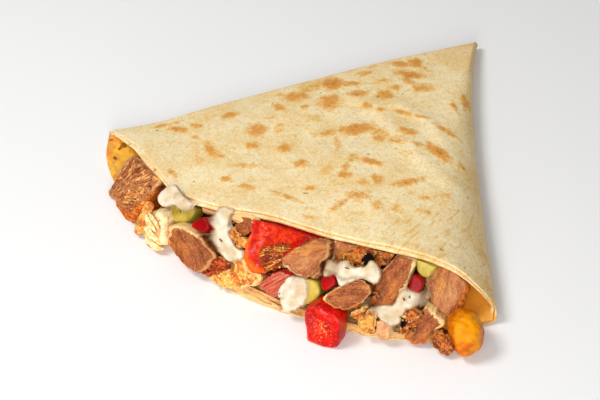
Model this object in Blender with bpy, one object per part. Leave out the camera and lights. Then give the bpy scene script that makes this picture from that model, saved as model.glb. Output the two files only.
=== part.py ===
"""A large savoury crepe folded into a flat cone, lying on its side, with its filling showing at the mouth.

Metres, +Z up, with the table at Z = 0. The cone's point is towards +Y and its mouth towards -Y.
Sizes are written in millimetres. A place is given as (across, reach, height): across runs from 0 at
the left fold to 1 at the right one, reach is the distance from the cone's point along the table, and
height is over the table.
"""

import math
from collections import namedtuple

import bmesh
import bpy
import numpy as np

MM = 0.001

# The fan that the folded crepe covers, seen from above, about the cone's point.
POINT_X, POINT_Y = 2.05, 106.95
FAN_DEG = 70.0
MEAN_REACH = 200.0
RIGHT_WAIST = 6.5

# How far the left fold stands in from a straight line, along its length.
LEFT_SIDE = ((0, 0), (0.25, -2), (0.5, 0), (0.75, 2), (0.92, 4), (1, 1.5))

# How far the top sheet and the bottom sheet reach, across the mouth.
LIP_REACH = ((0, 204), (0.1, 197), (0.2, 197.2), (0.3, 199.5), (0.4, 193.6), (0.5, 185.3),
             (0.6, 183), (0.72, 179.6), (0.82, 179.1), (0.9, 179.4), (0.96, 182.8), (1, 186.5))
FLOOR_REACH = ((0, 204), (0.05, 209), (0.13, 212), (0.33, 211), (0.5, 210.5),
               (0.65, 206), (0.82, 203), (0.93, 194), (0.97, 189), (1, 186.5))

# The crepe is folded in half first, so its wall is two plies, whose edges part at the mouth.
PLY = 1.3
PLY_GAP = 0.4
GROOVE = 6.0
WALL = 2 * PLY + PLY_GAP
INNER_PLY_OUT, INNER_PLY_BACK = 1.3, 2.6

# Height of the top sheet over the filling, and of the rounded folds at its sides.
CREST_HEIGHT = 36.0
CREST_ACROSS = 0.65
FOLD_HEIGHT = 7.8
LEFT_SLOPE, RIGHT_SLOPE = 1.75, 4.6

# The left tip is pressed thinner than the rest, and both tips lift a little off the table.
TIP_PRESS = 0.35
TIP_LIFT = 1.0

# Where the hollow ends, and where the filling begins and ends, as shares of the reach.
HOLLOW_START = 0.24
FILLING_START, FILLING_END = 0.28, 0.90

# How much further the filling stays from the two folds at the mouth than deep inside.
FILLING_SHORT = 18.0

# Clearance between pieces that touch, and the amount by which cutters are larger.
CLEARANCE = 0.35
FLOOR_CLEARANCE = 0.3

# What fills the hollow stays this far inside the folds, where the hollow closes to nothing.
EDGE_INSET = 1.07 * WALL + 2.6

# A piece is cut with straight sides, each given by its direction in degrees and its distance from
# the piece's middle, seen from the mouth: 0 is towards the right fold and 90 is up.
Piece = namedtuple("Piece", "name across reach height deep lean sides")
Form = namedtuple("Form", "corner side face lump")
Stream = namedtuple("Stream", "name route thick")

CHUNK = Form(18, 0.50, 0.80, 0.05)
CRISP = Form(14, 0.55, 0.80, 0.12)
DICE = Form(24, 0.36, 0.42, 0.02)
BLOB = Form(9, 0.80, 0.90, 0.05)

# A loop of few points cuts the corners of the outline, so a loop is drawn this much larger.
OUTLINE_GAIN = 1.05

TOMATO = (Piece("tomato_left", 0.398, 203, 23.5, 8, 40,
                ((85, 3.5), (155, 3.5), (255, 4), (285, 3), (345, 4))),
          Piece("tomato_middle", 0.675, 199, 23.9, 8, 45,
                ((60, 4), (140, 3.5), (210, 4), (305, 3.5), (355, 4))),
          Piece("tomato_right", 0.832, 187.5, 24.1, 8, 40,
                ((60, 3.5), (165, 3), (175, 3), (265, 3.5), (350, 3.5))))

CUCUMBER = (Piece("cucumber_left", 0.332, 199, 16.3, 9, 40,
                  ((25, 7), (75, 7), (140, 5), (225, 8.5), (275, 6), (305, 5))),
            Piece("cucumber_middle", 0.636, 201, 14.1, 9, 35,
                  ((65, 6), (135, 5.5), (175, 5.5), (215, 6.5), (290, 5.5), (325, 5.5), (355, 6))),
            Piece("cucumber_right", 0.843, 180.5, 27.8, 8, 35,
                  ((15, 5), (75, 3.5), (190, 4.5), (240, 4), (275, 4), (315, 5))))

PEPPER_CUBE = (Piece("pepper_cube", 0.685, 209.5, 8.6, 12, 15,
                     ((5, 8.5), (85, 10), (130, 10.5), (190, 8.5), (265, 11), (285, 10.5), (355, 8.5))),)

ONION = (Piece("onion_middle", 0.580, 204, 15.1, 9, 35,
               ((35, 9.5), (90, 7.5), (125, 6.5), (155, 7), (220, 10), (255, 8), (300, 7), (345, 7.5))),)

CHICKEN = (Piece("chicken_oval", 0.714, 200, 21.3, 11, 42,
                 ((0, 9), (50, 11), (105, 7.5), (125, 6), (140, 6), (160, 8), (225, 12), (270, 8.5),
                  (290, 6), (310, 6))),
           Piece("chicken_long", 0.392, 207, 11.4, 13, 30,
                 ((25, 15), (90, 7.5), (115, 9), (160, 14.5), (200, 15), (250, 9), (270, 8), (330, 11))),
           Piece("chicken_slab", 0.783, 187.5, 22.2, 12, 42,
                 ((55, 13), (95, 11), (135, 8), (170, 6.5), (200, 10.5), (280, 11), (335, 6), (340, 6),
                  (350, 7))),
           Piece("chicken_left", 0.196, 205, 6.2, 14, 48,
                 ((20, 16.5), (95, 13), (185, 14.5), (200, 14), (270, 12.5), (290, 14), (345, 14))),
           Piece("chicken_wedge", 0.857, 197, 9.1, 10, 30,
                 ((55, 8.5), (75, 9), (165, 6), (175, 6.5), (250, 10.5), (315, 6), (325, 6.5))),
           Piece("chicken_round", 0.790, 203, 7.7, 9, 15,
                 ((35, 4.5), (110, 5.5), (175, 4), (215, 5), (290, 5.5), (350, 4))),
           Piece("chicken_middle", 0.612, 191, 24.6, 13, 45,
                 ((20, 11), (75, 9.5), (110, 9), (140, 9), (195, 12), (245, 10), (270, 9),
                  (300, 9.5), (350, 9.5))),
           Piece("chicken_right", 0.892, 181.5, 15.2, 14, 45,
                 ((5, 10), (55, 11), (105, 11.5), (170, 11), (200, 10), (230, 9), (245, 9.5),
                  (305, 11.5), (350, 10))),
           Piece("chicken_pale", 0.310, 209.5, 8.2, 11, 25,
                 ((30, 6.5), (50, 7.5), (130, 9.5), (195, 5.5), (305, 8.5), (335, 7))),
           Piece("chicken_upper", 0.665, 179.5, 26, 12, 35,
                 ((90, 5.5), (100, 5.5), (195, 6.5), (205, 7), (295, 6), (325, 5.5))),
           Piece("chicken_grey", 0.468, 191, 25.2, 9, 35,
                 ((40, 5.5), (110, 3), (165, 5.5), (250, 4.5), (270, 3.5), (335, 4))),
           Piece("chicken_nub", 0.418, 192, 26, 8, 35,
                 ((95, 2.5), (140, 3), (235, 4), (305, 3), (350, 4))))

CRISPS = (Piece("crisp_low", 0.831, 200, 13.7, 6, 30,
                ((70, 5.5), (170, 4), (180, 4), (265, 7.5), (320, 4.5), (355, 4.5))),
          Piece("crisp_middle", 0.705, 183.5, 28, 6, 40,
                ((10, 5.5), (120, 3), (195, 6), (260, 4.5), (295, 3.5), (345, 4.5))),
          Piece("crisp_left", 0.462, 199, 21.8, 6, 40,
                ((40, 5.5), (65, 4), (155, 6), (220, 4.5), (290, 5), (325, 5.5))),
          Piece("crisp_inner", 0.555, 196, 23.1, 9, 40,
                ((0, 6.5), (100, 6.5), (130, 6), (225, 7.5), (290, 7), (340, 6))),
          Piece("crisp_upper", 0.753, 180.5, 26.6, 8, 35,
                ((0, 5), (100, 5.5), (195, 4), (260, 5.5), (330, 3.5))),
          Piece("crisp_red", 0.451, 207, 9.2, 8, 25,
                ((90, 5.5), (120, 5), (190, 8.5), (250, 8), (305, 4.5), (355, 9))),
          Piece("crisp_yellow", 0.487, 205, 8.6, 10, 35,
                ((25, 12.5), (65, 10), (125, 8), (145, 8.5), (205, 13), (270, 9), (305, 7.5))),
          Piece("crisp_strand", 0.287, 212.5, 8.6, 6, 25,
                ((15, 4.5), (45, 5), (150, 4.5), (245, 5), (275, 5))),
          Piece("crisp_strips", 0.755, 202.5, 10.9, 8, 30,
                ((10, 5.5), (80, 7), (135, 5.5), (200, 6.5), (255, 5.5), (265, 6), (345, 6.5))),
          Piece("crisp_sliver", 0.744, 204.5, 18.5, 4, 30,
                ((20, 5.5), (135, 1.5), (210, 6), (300, 2), (325, 1.5))))

CRUMB = (Piece("crumb_right", 0.899, 203, 5.6, 9, 30,
               ((15, 5.5), (85, 4.5), (145, 5), (230, 5), (275, 4.5), (330, 5.5))),)

TONGUE = (Stream("crisp_tongue", ((0.263, 208, 16, 7), (0.266, 214, 8.5, 6), (0.273, 219.5, 2.6, 6)), 4.5),)

SAUCE = (Stream("sauce_left", ((0.266, 205, 20.5, 8), (0.297, 204, 22.5, 10), (0.321, 205, 25, 6),
                               (0.345, 204, 27, 8)), 6),
         Stream("sauce_stream", ((0.409, 196, 25, 12), (0.419, 201, 22, 11), (0.440, 204, 18, 11),
                                 (0.464, 205, 14, 10)), 6),
         Stream("sauce_middle", ((0.653, 190.5, 24, 9), (0.691, 193.5, 24, 14), (0.732, 192.5, 25, 10),
                                 (0.759, 192.5, 22, 8)), 7),
         Stream("sauce_drip", ((0.638, 202, 20, 9), (0.618, 205, 17, 15), (0.607, 208, 12, 12),
                               (0.604, 211, 5.5, 7)), 9),
         Stream("sauce_right", ((0.853, 189, 22.5, 13), (0.821, 193, 20.5, 14), (0.794, 196.5, 15.5, 10),
                                (0.763, 198.5, 13.5, 6)), 7))

PEPPER_STRIP = (Stream("pepper_strip", ((0.639, 180.5, 29, 5), (0.590, 183, 27.8, 12),
                                        (0.538, 188.5, 28, 12.5), (0.515, 195, 28.8, 10), (0.505, 198, 24, 8),
                                        (0.526, 202, 19.5, 7), (0.552, 203.5, 18, 5)), 9),)

CHEESE = (Piece("cheese_blob", 0.932, 201, 11.4, 18, 30,
                ((25, 9), (55, 10), (105, 10.5), (145, 10.5), (200, 9), (210, 8.5), (230, 10),
                 (285, 11.5), (320, 10.5), (355, 9.5))),)

SKIN = {"crepe": (0.87, 0.72, 0.45), "filling": (0.55, 0.30, 0.12), "tomato": (0.35, 0.01, 0.01),
        "cucumber": (0.62, 0.55, 0.16), "pepper": (0.80, 0.03, 0.01), "onion": (0.70, 0.22, 0.18),
        "chicken": (0.62, 0.33, 0.18), "crisp": (0.62, 0.27, 0.06), "crumb": (0.50, 0.27, 0.12),
        "sauce": (0.90, 0.82, 0.68), "cheese": (0.88, 0.42, 0.01)}


def smooth_curve(knots, place):
    """A curve through the knots: a cubic on each span, with slopes taken from the neighbours."""
    along, value = np.array(knots, float).T
    slope = np.gradient(value, along)
    left = np.clip(np.searchsorted(along, place, side="right") - 1, 0, len(along) - 2)
    span = along[left + 1] - along[left]
    u = (place - along[left]) / span
    start = (1 + 2 * u) * (1 - u) ** 2 * value[left] + u * (1 - u) ** 2 * span * slope[left]
    end = u ** 2 * (3 - 2 * u) * value[left + 1] - u ** 2 * (1 - u) * span * slope[left + 1]
    return start + end


def fan_angle(across):
    """Angle from the middle of the fan, in radians."""
    return math.radians(FAN_DEG) * (np.asarray(across, float) - 0.5)


def at(across, reach, height):
    """The point at that place, in millimetres."""
    angle = fan_angle(across)
    x = POINT_X + reach * np.sin(angle)
    y = POINT_Y - reach * np.cos(angle)
    return np.stack(np.broadcast_arrays(x, y, height), -1)


def crest(across):
    """Rise of the top sheet from the folds to its crest: gentle on the left, steep on the right."""
    left = 1 - np.clip(1 - across / CREST_ACROSS, 0, 1) ** LEFT_SLOPE
    right = 1 - np.clip((across - CREST_ACROSS) / (1 - CREST_ACROSS), 0, 1) ** RIGHT_SLOPE
    return np.where(across < CREST_ACROSS, left, right)


def sheet(across, share, depth, top, inset=None):
    """Point of the crepe's wall, at a share of the reach and a depth under its outer face.

    Both sheets are flat fans. The top one rises by the crest, more towards the mouth, and both
    round off in a quarter circle at the two folds.
    """
    chord = 2 * MEAN_REACH * math.sin(math.radians(FAN_DEG) / 2) * share
    inset = 1.07 * depth if inset is None else inset
    side = inset / np.maximum(chord, 1)
    across = side + across * (1 - 2 * side)
    reach = smooth_curve(LIP_REACH if top else FLOOR_REACH, across)
    point = at(across, share * reach, 0.0)
    run = np.clip(share, 0, 1)
    waist = np.sin(math.pi * run ** 0.7) * across ** 4 * RIGHT_WAIST
    point[..., 0] += smooth_curve(LEFT_SIDE, run) * (1 - across) ** 4 - waist

    press = 1 - TIP_PRESS * run ** 4 * (1 - across) ** 12
    fold, depth = FOLD_HEIGHT * press, depth * press
    to_fold = np.minimum(across, 1 - across) * chord
    rounding = np.sqrt(1 - (1 - np.clip(2 * to_fold / fold, 0, 1)) ** 2)
    middle = 0.4 * fold + TIP_LIFT * run ** 8 * ((1 - across) ** 10 + across ** 10)
    if top:
        swell = (CREST_HEIGHT - FOLD_HEIGHT) * share * (1.1 - 0.1 * share) * crest(across)
        point[..., 2] = middle + 0.6 * fold * rounding + swell - depth
    else:
        point[..., 2] = middle - 0.4 * fold * rounding + depth
    return point


def section(across, top_share, floor_share, depth, inset=None):
    """One closed loop round the cone: over the top from left to right, and back along the bottom."""
    top = sheet(across, top_share, depth, True, inset)
    floor = sheet(across, floor_share, depth, False, inset)
    return np.concatenate([top, floor[::-1]])


def across_steps(count):
    """Places across the mouth, closer together near the folds."""
    return (1 - np.cos(math.pi * (np.arange(count) + 0.5) / count)) / 2


def flattened(loop):
    """The loop pressed onto the line midway between its top and its bottom, which closes the end."""
    half = len(loop) // 2
    line = (loop[:half] + loop[:half - 1:-1]) / 2
    return np.concatenate([line, line[::-1]])


def ply_ends(across):
    """Shares at which the inner ply ends: past the outer one on top, and short of it below."""
    away = 1 - (2 * across - 1) ** 8
    ripple = np.sin(17 * across) + 0.6 * np.sin(41 * across + 1)
    top = 1 + away * (INNER_PLY_OUT + 0.5 * ripple) / MEAN_REACH
    floor = 1 - away * (INNER_PLY_BACK + 0.8 * ripple) / MEAN_REACH
    return top, floor


def crepe_rings():
    """Loops of the crepe's wall: its outer face, the two ply edges at the mouth, its inner face."""
    across = across_steps(26)
    edge = 0.4 / MEAN_REACH
    groove = 1 - GROOVE / MEAN_REACH
    rings = [np.zeros((2 * len(across), 3)) + at(0.5, 0.0, 0.4 * FOLD_HEIGHT)]
    for share in (0.015, 0.04, 0.09, 0.16, 0.25, 0.36, 0.48, 0.6, 0.72, 0.83, 0.92, 1 - edge):
        rings.append(section(across, share, share, 0.0))
    rings += [section(across, 1.0, 1.0, 0.25 * PLY), section(across, 1.0, 1.0, 0.75 * PLY)]
    rings += [section(across, groove, groove, PLY), section(across, groove, groove, PLY + PLY_GAP)]
    top, floor = ply_ends(across)
    for back, depth in ((edge, 0.0), (0.0, 0.3 * PLY), (0.0, 0.8 * PLY), (edge, PLY)):
        rings.append(section(across, top - back, floor - back, PLY + PLY_GAP + depth))
    for share in (0.93, 0.83, 0.7, 0.56, 0.4, HOLLOW_START):
        rings.append(section(across, share, share, WALL))
    rings.append(flattened(rings[-1]))
    return rings


def guard_rings():
    """The crepe's wall made thicker by the clearance on every side, with no groove."""
    across = across_steps(26)
    top, floor = ply_ends(across)
    out = CLEARANCE / MEAN_REACH
    rings = [np.zeros((2 * len(across), 3)) + at(0.5, -0.3, 0.4 * FOLD_HEIGHT)]
    for share in (0.02, 0.36, 0.6, 0.83, 0.92):
        rings.append(section(across, share, share, -CLEARANCE))
    rings.append(section(across, 1 + out, 1 + out, -CLEARANCE))
    rings.append(section(across, 1 + out, 1 + out, PLY + PLY_GAP / 2))
    rings.append(section(across, top + out, floor + out, PLY + PLY_GAP / 2 + 0.1))
    rings.append(section(across, top + out, floor + out, WALL + CLEARANCE, EDGE_INSET))
    for share in (0.93, 0.83, 0.7, 0.56, 0.4, HOLLOW_START):
        rings.append(section(across, share, share, WALL + CLEARANCE, EDGE_INSET))
    rings.append(flattened(rings[-1]))
    return rings


def waves(direction, seed):
    """Smooth seeded lumps between about -1 and 1: four sine waves in directions drawn at random."""
    draw = np.random.default_rng(seed)
    total = 0.0
    for step in range(4):
        run = draw.normal(size=3) * (1.2 + 0.5 * step)
        total = total + np.sin(direction @ run + draw.uniform(0, 6.28)) / (2 + 0.5 * step)
    return total


def filling_rings():
    """Loops of the chopped filling: it fills the hollow with a thin gap, and its face is lumpy."""
    across = across_steps(26)
    depth = WALL + CLEARANCE
    rings = [section(across, share, share, depth, EDGE_INSET + FILLING_SHORT * share ** 6)
             for share in (FILLING_START, 0.4, 0.56, 0.7, 0.83, FILLING_END)]
    rings.insert(0, flattened(rings[0]))
    end = rings[-1]
    line = flattened(end)
    angle = fan_angle(np.concatenate([across, across[::-1]]))
    outward = np.stack([np.sin(angle), -np.cos(angle), 0 * angle], -1)
    for step in range(1, 5):
        inward = step / 4
        loop = end * (1 - inward) + line * inward
        swell = 5 * math.sin(math.pi / 2 * inward) * (1 + 0.35 * waves(loop / 7, 5))
        rings.append(loop + outward * swell[:, None] if step < 4 else flattened(loop + 5 * outward))
    return rings


def piece_frame(piece):
    """The piece's own axes: along the mouth, up its face, and out of its face, leaned back from upright."""
    angle, lean = fan_angle(piece.across), math.radians(piece.lean)
    out = np.array([math.sin(angle), -math.cos(angle), 0.0])
    along = np.array([math.cos(angle), math.sin(angle), 0.0])
    upward = np.array([0.0, 0.0, 1.0])
    face = out * math.cos(lean) + upward * math.sin(lean)
    rise = upward * math.cos(lean) - out * math.sin(lean)
    return np.stack([along, rise, face])


def on_table(points):
    """What would sink into the table lies flat on it instead."""
    points[..., 2] = np.maximum(points[..., 2], FLOOR_CLEARANCE)
    return points


def side_distance(sides, turn, corner):
    """Distance to the outline of straight sides in a direction: a high power rounds their corners."""
    toward, far = np.array(sides, float).T
    nearness = np.maximum(np.cos(turn[..., None] - np.radians(toward)), 0) / far
    return (nearness ** corner).sum(-1) ** (-1 / corner)


def chunk_rings(piece, form, seed, grow=0.0, rings=6, steps=12):
    """Loops of a chunk, from the middle of its face to the middle of its back.

    Across, the outline of its straight sides is scaled by a power of the sine of the angle from the
    face. In depth, a power of the cosine makes the face flatter than a ball's. Waves make it lumpy.
    """
    polar = np.linspace(0, math.pi, rings + 1)[:, None]
    turn = np.linspace(0, 2 * math.pi, steps, endpoint=False)[None, :] + 0.2
    sine, cosine = np.abs(np.sin(polar)), np.cos(polar)
    sine[[0, -1]] = 0.0
    ways = np.broadcast_arrays(sine * np.cos(turn), sine * np.sin(turn), cosine)
    lumps = 1 + form.lump * waves(np.stack(ways, -1), seed)
    outline = OUTLINE_GAIN * side_distance(piece.sides, turn, form.corner)
    wide = (outline + grow) * sine ** form.side * lumps
    deep = (piece.deep / 2 + grow) * np.sign(cosine) * np.abs(cosine) ** form.face * lumps
    point = np.stack([wide * np.cos(turn), wide * np.sin(turn), deep], -1)
    centre = at(piece.across, piece.reach, piece.height)
    return list(on_table(centre + point @ piece_frame(piece)))


def stream_rings(stream, grow=0.0, steps=10, sides=8):
    """Loops of something poured or bent: a flat oval carried along its route, closed at both ends.

    Each point of the route is a place and the width there.
    """
    route = np.array(stream.route, float)
    knots = np.linspace(0, 1, len(route))
    along = (1 - np.cos(math.pi * np.arange(steps + 1) / steps)) / 2
    *place, wide = [smooth_curve(np.stack([knots, column], 1), along) for column in route.T]
    centre = at(*place)
    run = np.gradient(centre, axis=0)
    run /= np.linalg.norm(run, axis=1)[:, None]
    angle = fan_angle(place[0])
    face = np.stack([np.sin(angle) * 0.75, -np.cos(angle) * 0.75, 0 * angle + 0.66], -1)
    side = np.cross(run, face)
    side /= np.linalg.norm(side, axis=1)[:, None]
    face = np.cross(side, run)
    taper = np.sqrt(np.clip(1 - (2 * along - 1) ** 6, 0, 1))
    rings = []
    turn = np.linspace(0, 2 * math.pi, sides, endpoint=False)[:, None]
    for middle, across, outward, breadth, swell in zip(centre, side, face, wide, taper):
        oval = (np.cos(turn) * across * (breadth / 2 + grow)
                + np.sin(turn) * outward * (stream.thick / 2 + grow))
        rings.append(middle + oval * swell)
    rings[0] = rings[0] * 0 + centre[0] - run[0] * grow
    rings[-1] = rings[-1] * 0 + centre[-1] + run[-1] * grow
    return [on_table(ring) for ring in rings]


def ring_mesh(name, rings):
    """A closed mesh of quads between neighbouring loops. Loops that shrink to a point or line close it."""
    points = np.array(rings) * MM
    count, sides = points.shape[:2]
    index = np.arange(count * sides).reshape(count, sides)
    after = np.roll(index, -1, axis=1)
    faces = np.stack([index[:-1], after[:-1], after[1:], index[1:]], -1).reshape(-1, 4)
    mesh = bpy.data.meshes.new(name)
    mesh.from_pydata(points.reshape(-1, 3).tolist(), [], faces.tolist())
    model = bmesh.new()
    model.from_mesh(mesh)
    bmesh.ops.remove_doubles(model, verts=model.verts, dist=2e-6)
    bmesh.ops.triangulate(model, faces=model.faces)
    bmesh.ops.recalc_face_normals(model, faces=model.faces)
    if model.calc_volume(signed=True) < 0:
        bmesh.ops.reverse_faces(model, faces=model.faces)
    model.to_mesh(mesh)
    model.free()
    return mesh


def material(kind, roughness=0.6):
    """The kind's own plain finish, made once."""
    found = bpy.data.materials.get(kind)
    if found:
        return found
    made = bpy.data.materials.new(kind)
    made.use_nodes = True
    shader = made.node_tree.nodes["Principled BSDF"]
    shader.inputs["Base Color"].default_value = (*SKIN[kind], 1)
    shader.inputs["Roughness"].default_value = roughness
    shader.inputs["Metallic"].default_value = 0.0
    return made


def add_object(name, rings, kind=None):
    """An object of those loops. Without a kind it is a cutter."""
    body = bpy.data.objects.new(name, ring_mesh(name, rings))
    bpy.context.scene.collection.objects.link(body)
    if kind:
        body.data.materials.append(material(kind))
    else:
        body.hide_render = True
        body.display_type = "WIRE"
    return body


def largest_lump(model):
    """Deletes all but the largest of the mesh's loose lumps."""
    left, lumps = set(model.verts), []
    while left:
        found, open_ends = set(), [left.pop()]
        while open_ends:
            vertex = open_ends.pop()
            found.add(vertex)
            near = {edge.other_vert(vertex) for edge in vertex.link_edges} & left
            left -= near
            open_ends += near
        lumps.append(found)
    lumps.sort(key=len)
    for lump in lumps[:-1]:
        bmesh.ops.delete(model, geom=list(lump), context="VERTS")


def carve(body, cutters):
    """Cuts the cutters' forms out of the body and keeps the largest lump that is left."""
    if not cutters:
        return
    group = bpy.data.collections.new(body.name + "_cutters")
    for cutter in cutters:
        group.objects.link(cutter)
    cut = body.modifiers.new("cut", "BOOLEAN")
    cut.operation = "DIFFERENCE"
    cut.operand_type = "COLLECTION"
    cut.collection = group
    cut.solver = "EXACT"
    bpy.context.view_layer.update()
    whole = body.evaluated_get(bpy.context.evaluated_depsgraph_get())
    mesh = bpy.data.meshes.new_from_object(whole)
    body.modifiers.clear()
    model = bmesh.new()
    model.from_mesh(mesh)
    largest_lump(model)
    bmesh.ops.triangulate(model, faces=model.faces)
    bmesh.ops.dissolve_degenerate(model, dist=1e-5, edges=model.edges)
    bmesh.ops.triangulate(model, faces=model.faces)
    model.to_mesh(mesh)
    model.free()
    body.data = mesh
    bpy.data.collections.remove(group)


def near(one, other):
    """Whether the boxes round two sets of loops overlap."""
    one, other = np.concatenate(one), np.concatenate(other)
    return bool(np.all(one.min(0) < other.max(0)) and np.all(other.min(0) < one.max(0)))


def piece_list():
    """Every piece of the filling that shows, first the ones that keep their whole form."""
    groups = ((TOMATO, DICE, "tomato"), (CUCUMBER, DICE, "cucumber"), (PEPPER_CUBE, DICE, "pepper"),
              (ONION, CHUNK, "onion"), (CHICKEN, CHUNK, "chicken"), (PEPPER_STRIP, None, "pepper"),
              (CRISPS, CRISP, "crisp"), (CRUMB, CRISP, "crumb"), (TONGUE, None, "crisp"),
              (CHEESE, BLOB, "cheese"), (SAUCE, None, "sauce"))
    pieces, seed = [], 0
    for group, form, kind in groups:
        for piece in group:
            seed += 1
            if form:
                loops = [chunk_rings(piece, form, seed, grow) for grow in (0.0, CLEARANCE)]
            else:
                loops = [stream_rings(piece, grow) for grow in (0.0, CLEARANCE)]
            pieces.append((piece.name, kind, loops[0], loops[1]))
    return pieces


def build():
    """Makes the crepe, every piece that shows, and the chopped filling behind them."""
    for old in list(bpy.data.objects):
        bpy.data.objects.remove(old)
    add_object("crepe", crepe_rings(), "crepe")
    guard = add_object("guard", guard_rings())
    placed = []
    for name, kind, rings, cutter_rings in piece_list():
        body = add_object(name, rings, kind)
        carve(body, [guard] + [cutter for loops, cutter in placed if near(rings, loops)])
        placed.append((cutter_rings, add_object(name + "_cutter", cutter_rings)))
    filling = add_object("filling", filling_rings(), "filling")
    carve(filling, [cutter for loops, cutter in placed])
    for old in [guard] + [cutter for loops, cutter in placed]:
        bpy.data.objects.remove(old)


build()
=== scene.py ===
"""A large savoury crepe folded into a flat cone, filled with chicken, vegetables, cheese and sauce.

Metres, +Z up, on the table at Z = 0. The tables of sizes are in millimetres. A place is given as
(across, reach, height): across runs from 0 at the left fold to 1 at the right one, reach is the
distance from the cone's point along the table, and height is over the table.
"""

import math
from collections import namedtuple
from functools import partial

import bpy
import numpy as np
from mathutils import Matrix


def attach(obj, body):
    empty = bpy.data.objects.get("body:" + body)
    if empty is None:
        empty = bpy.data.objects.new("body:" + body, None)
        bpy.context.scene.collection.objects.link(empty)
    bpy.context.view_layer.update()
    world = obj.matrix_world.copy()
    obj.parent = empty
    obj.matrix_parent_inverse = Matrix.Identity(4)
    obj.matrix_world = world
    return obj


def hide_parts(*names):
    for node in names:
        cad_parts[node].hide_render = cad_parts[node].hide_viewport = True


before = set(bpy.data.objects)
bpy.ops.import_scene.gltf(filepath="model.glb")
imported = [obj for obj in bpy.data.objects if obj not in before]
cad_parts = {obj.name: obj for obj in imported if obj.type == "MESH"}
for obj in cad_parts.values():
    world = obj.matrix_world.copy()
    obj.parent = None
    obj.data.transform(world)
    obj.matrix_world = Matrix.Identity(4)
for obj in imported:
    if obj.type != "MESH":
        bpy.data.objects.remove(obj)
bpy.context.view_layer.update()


# The crepe is a round sheet of thin wheat batter, baked on a griddle and folded in half, so that
# its wall is two plies. Folded again round the filling, it makes a flat cone that lies on its side.
# The griddle left brown spots on it, and cheese has melted into its inner face at the mouth's ends.

MM = 0.001
POINT_X, POINT_Y = 2.05, 106.95
FAN_DEG, MEAN_REACH, RIGHT_WAIST = 70.0, 200.0, 6.5
LEFT_SIDE = ((0, 0), (0.25, -2), (0.5, 0), (0.75, 2), (0.92, 4), (1, 1.5))
LIP_REACH = ((0, 204), (0.1, 197), (0.2, 197.2), (0.3, 199.5), (0.4, 193.6), (0.5, 185.3),
             (0.6, 183), (0.72, 179.6), (0.82, 179.1), (0.9, 179.4), (0.96, 182.8), (1, 186.5))
FLOOR_REACH = ((0, 204), (0.05, 209), (0.13, 212), (0.33, 211), (0.5, 210.5),
               (0.65, 206), (0.82, 203), (0.93, 194), (0.97, 189), (1, 186.5))
PLY, PLY_GAP = 1.3, 0.4
WALL = 2 * PLY + PLY_GAP
CREST_HEIGHT, CREST_ACROSS, FOLD_HEIGHT = 36.0, 0.65, 7.8
LEFT_SLOPE, RIGHT_SLOPE = 1.75, 4.6
TIP_PRESS, TIP_LIFT = 0.35, 1.0

# What lies deep in the wall is inset at the folds by a little more than its depth. The sheet is
# smooth within a distance of the folds and at the point. The point closes, the hollow runs and the
# lips round off at shares of the reach, and each sheet has that many columns.
SIDE_INSET, SMOOTH_BY_FOLD, SMOOTH_AT_POINT = 1.07, 9, 0.15
POINT_SHARE, HOLLOW_START, HOLLOW_END, LIP_SHARE, COLUMNS = 0.012, 0.24, 0.985, 0.998, 200

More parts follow.
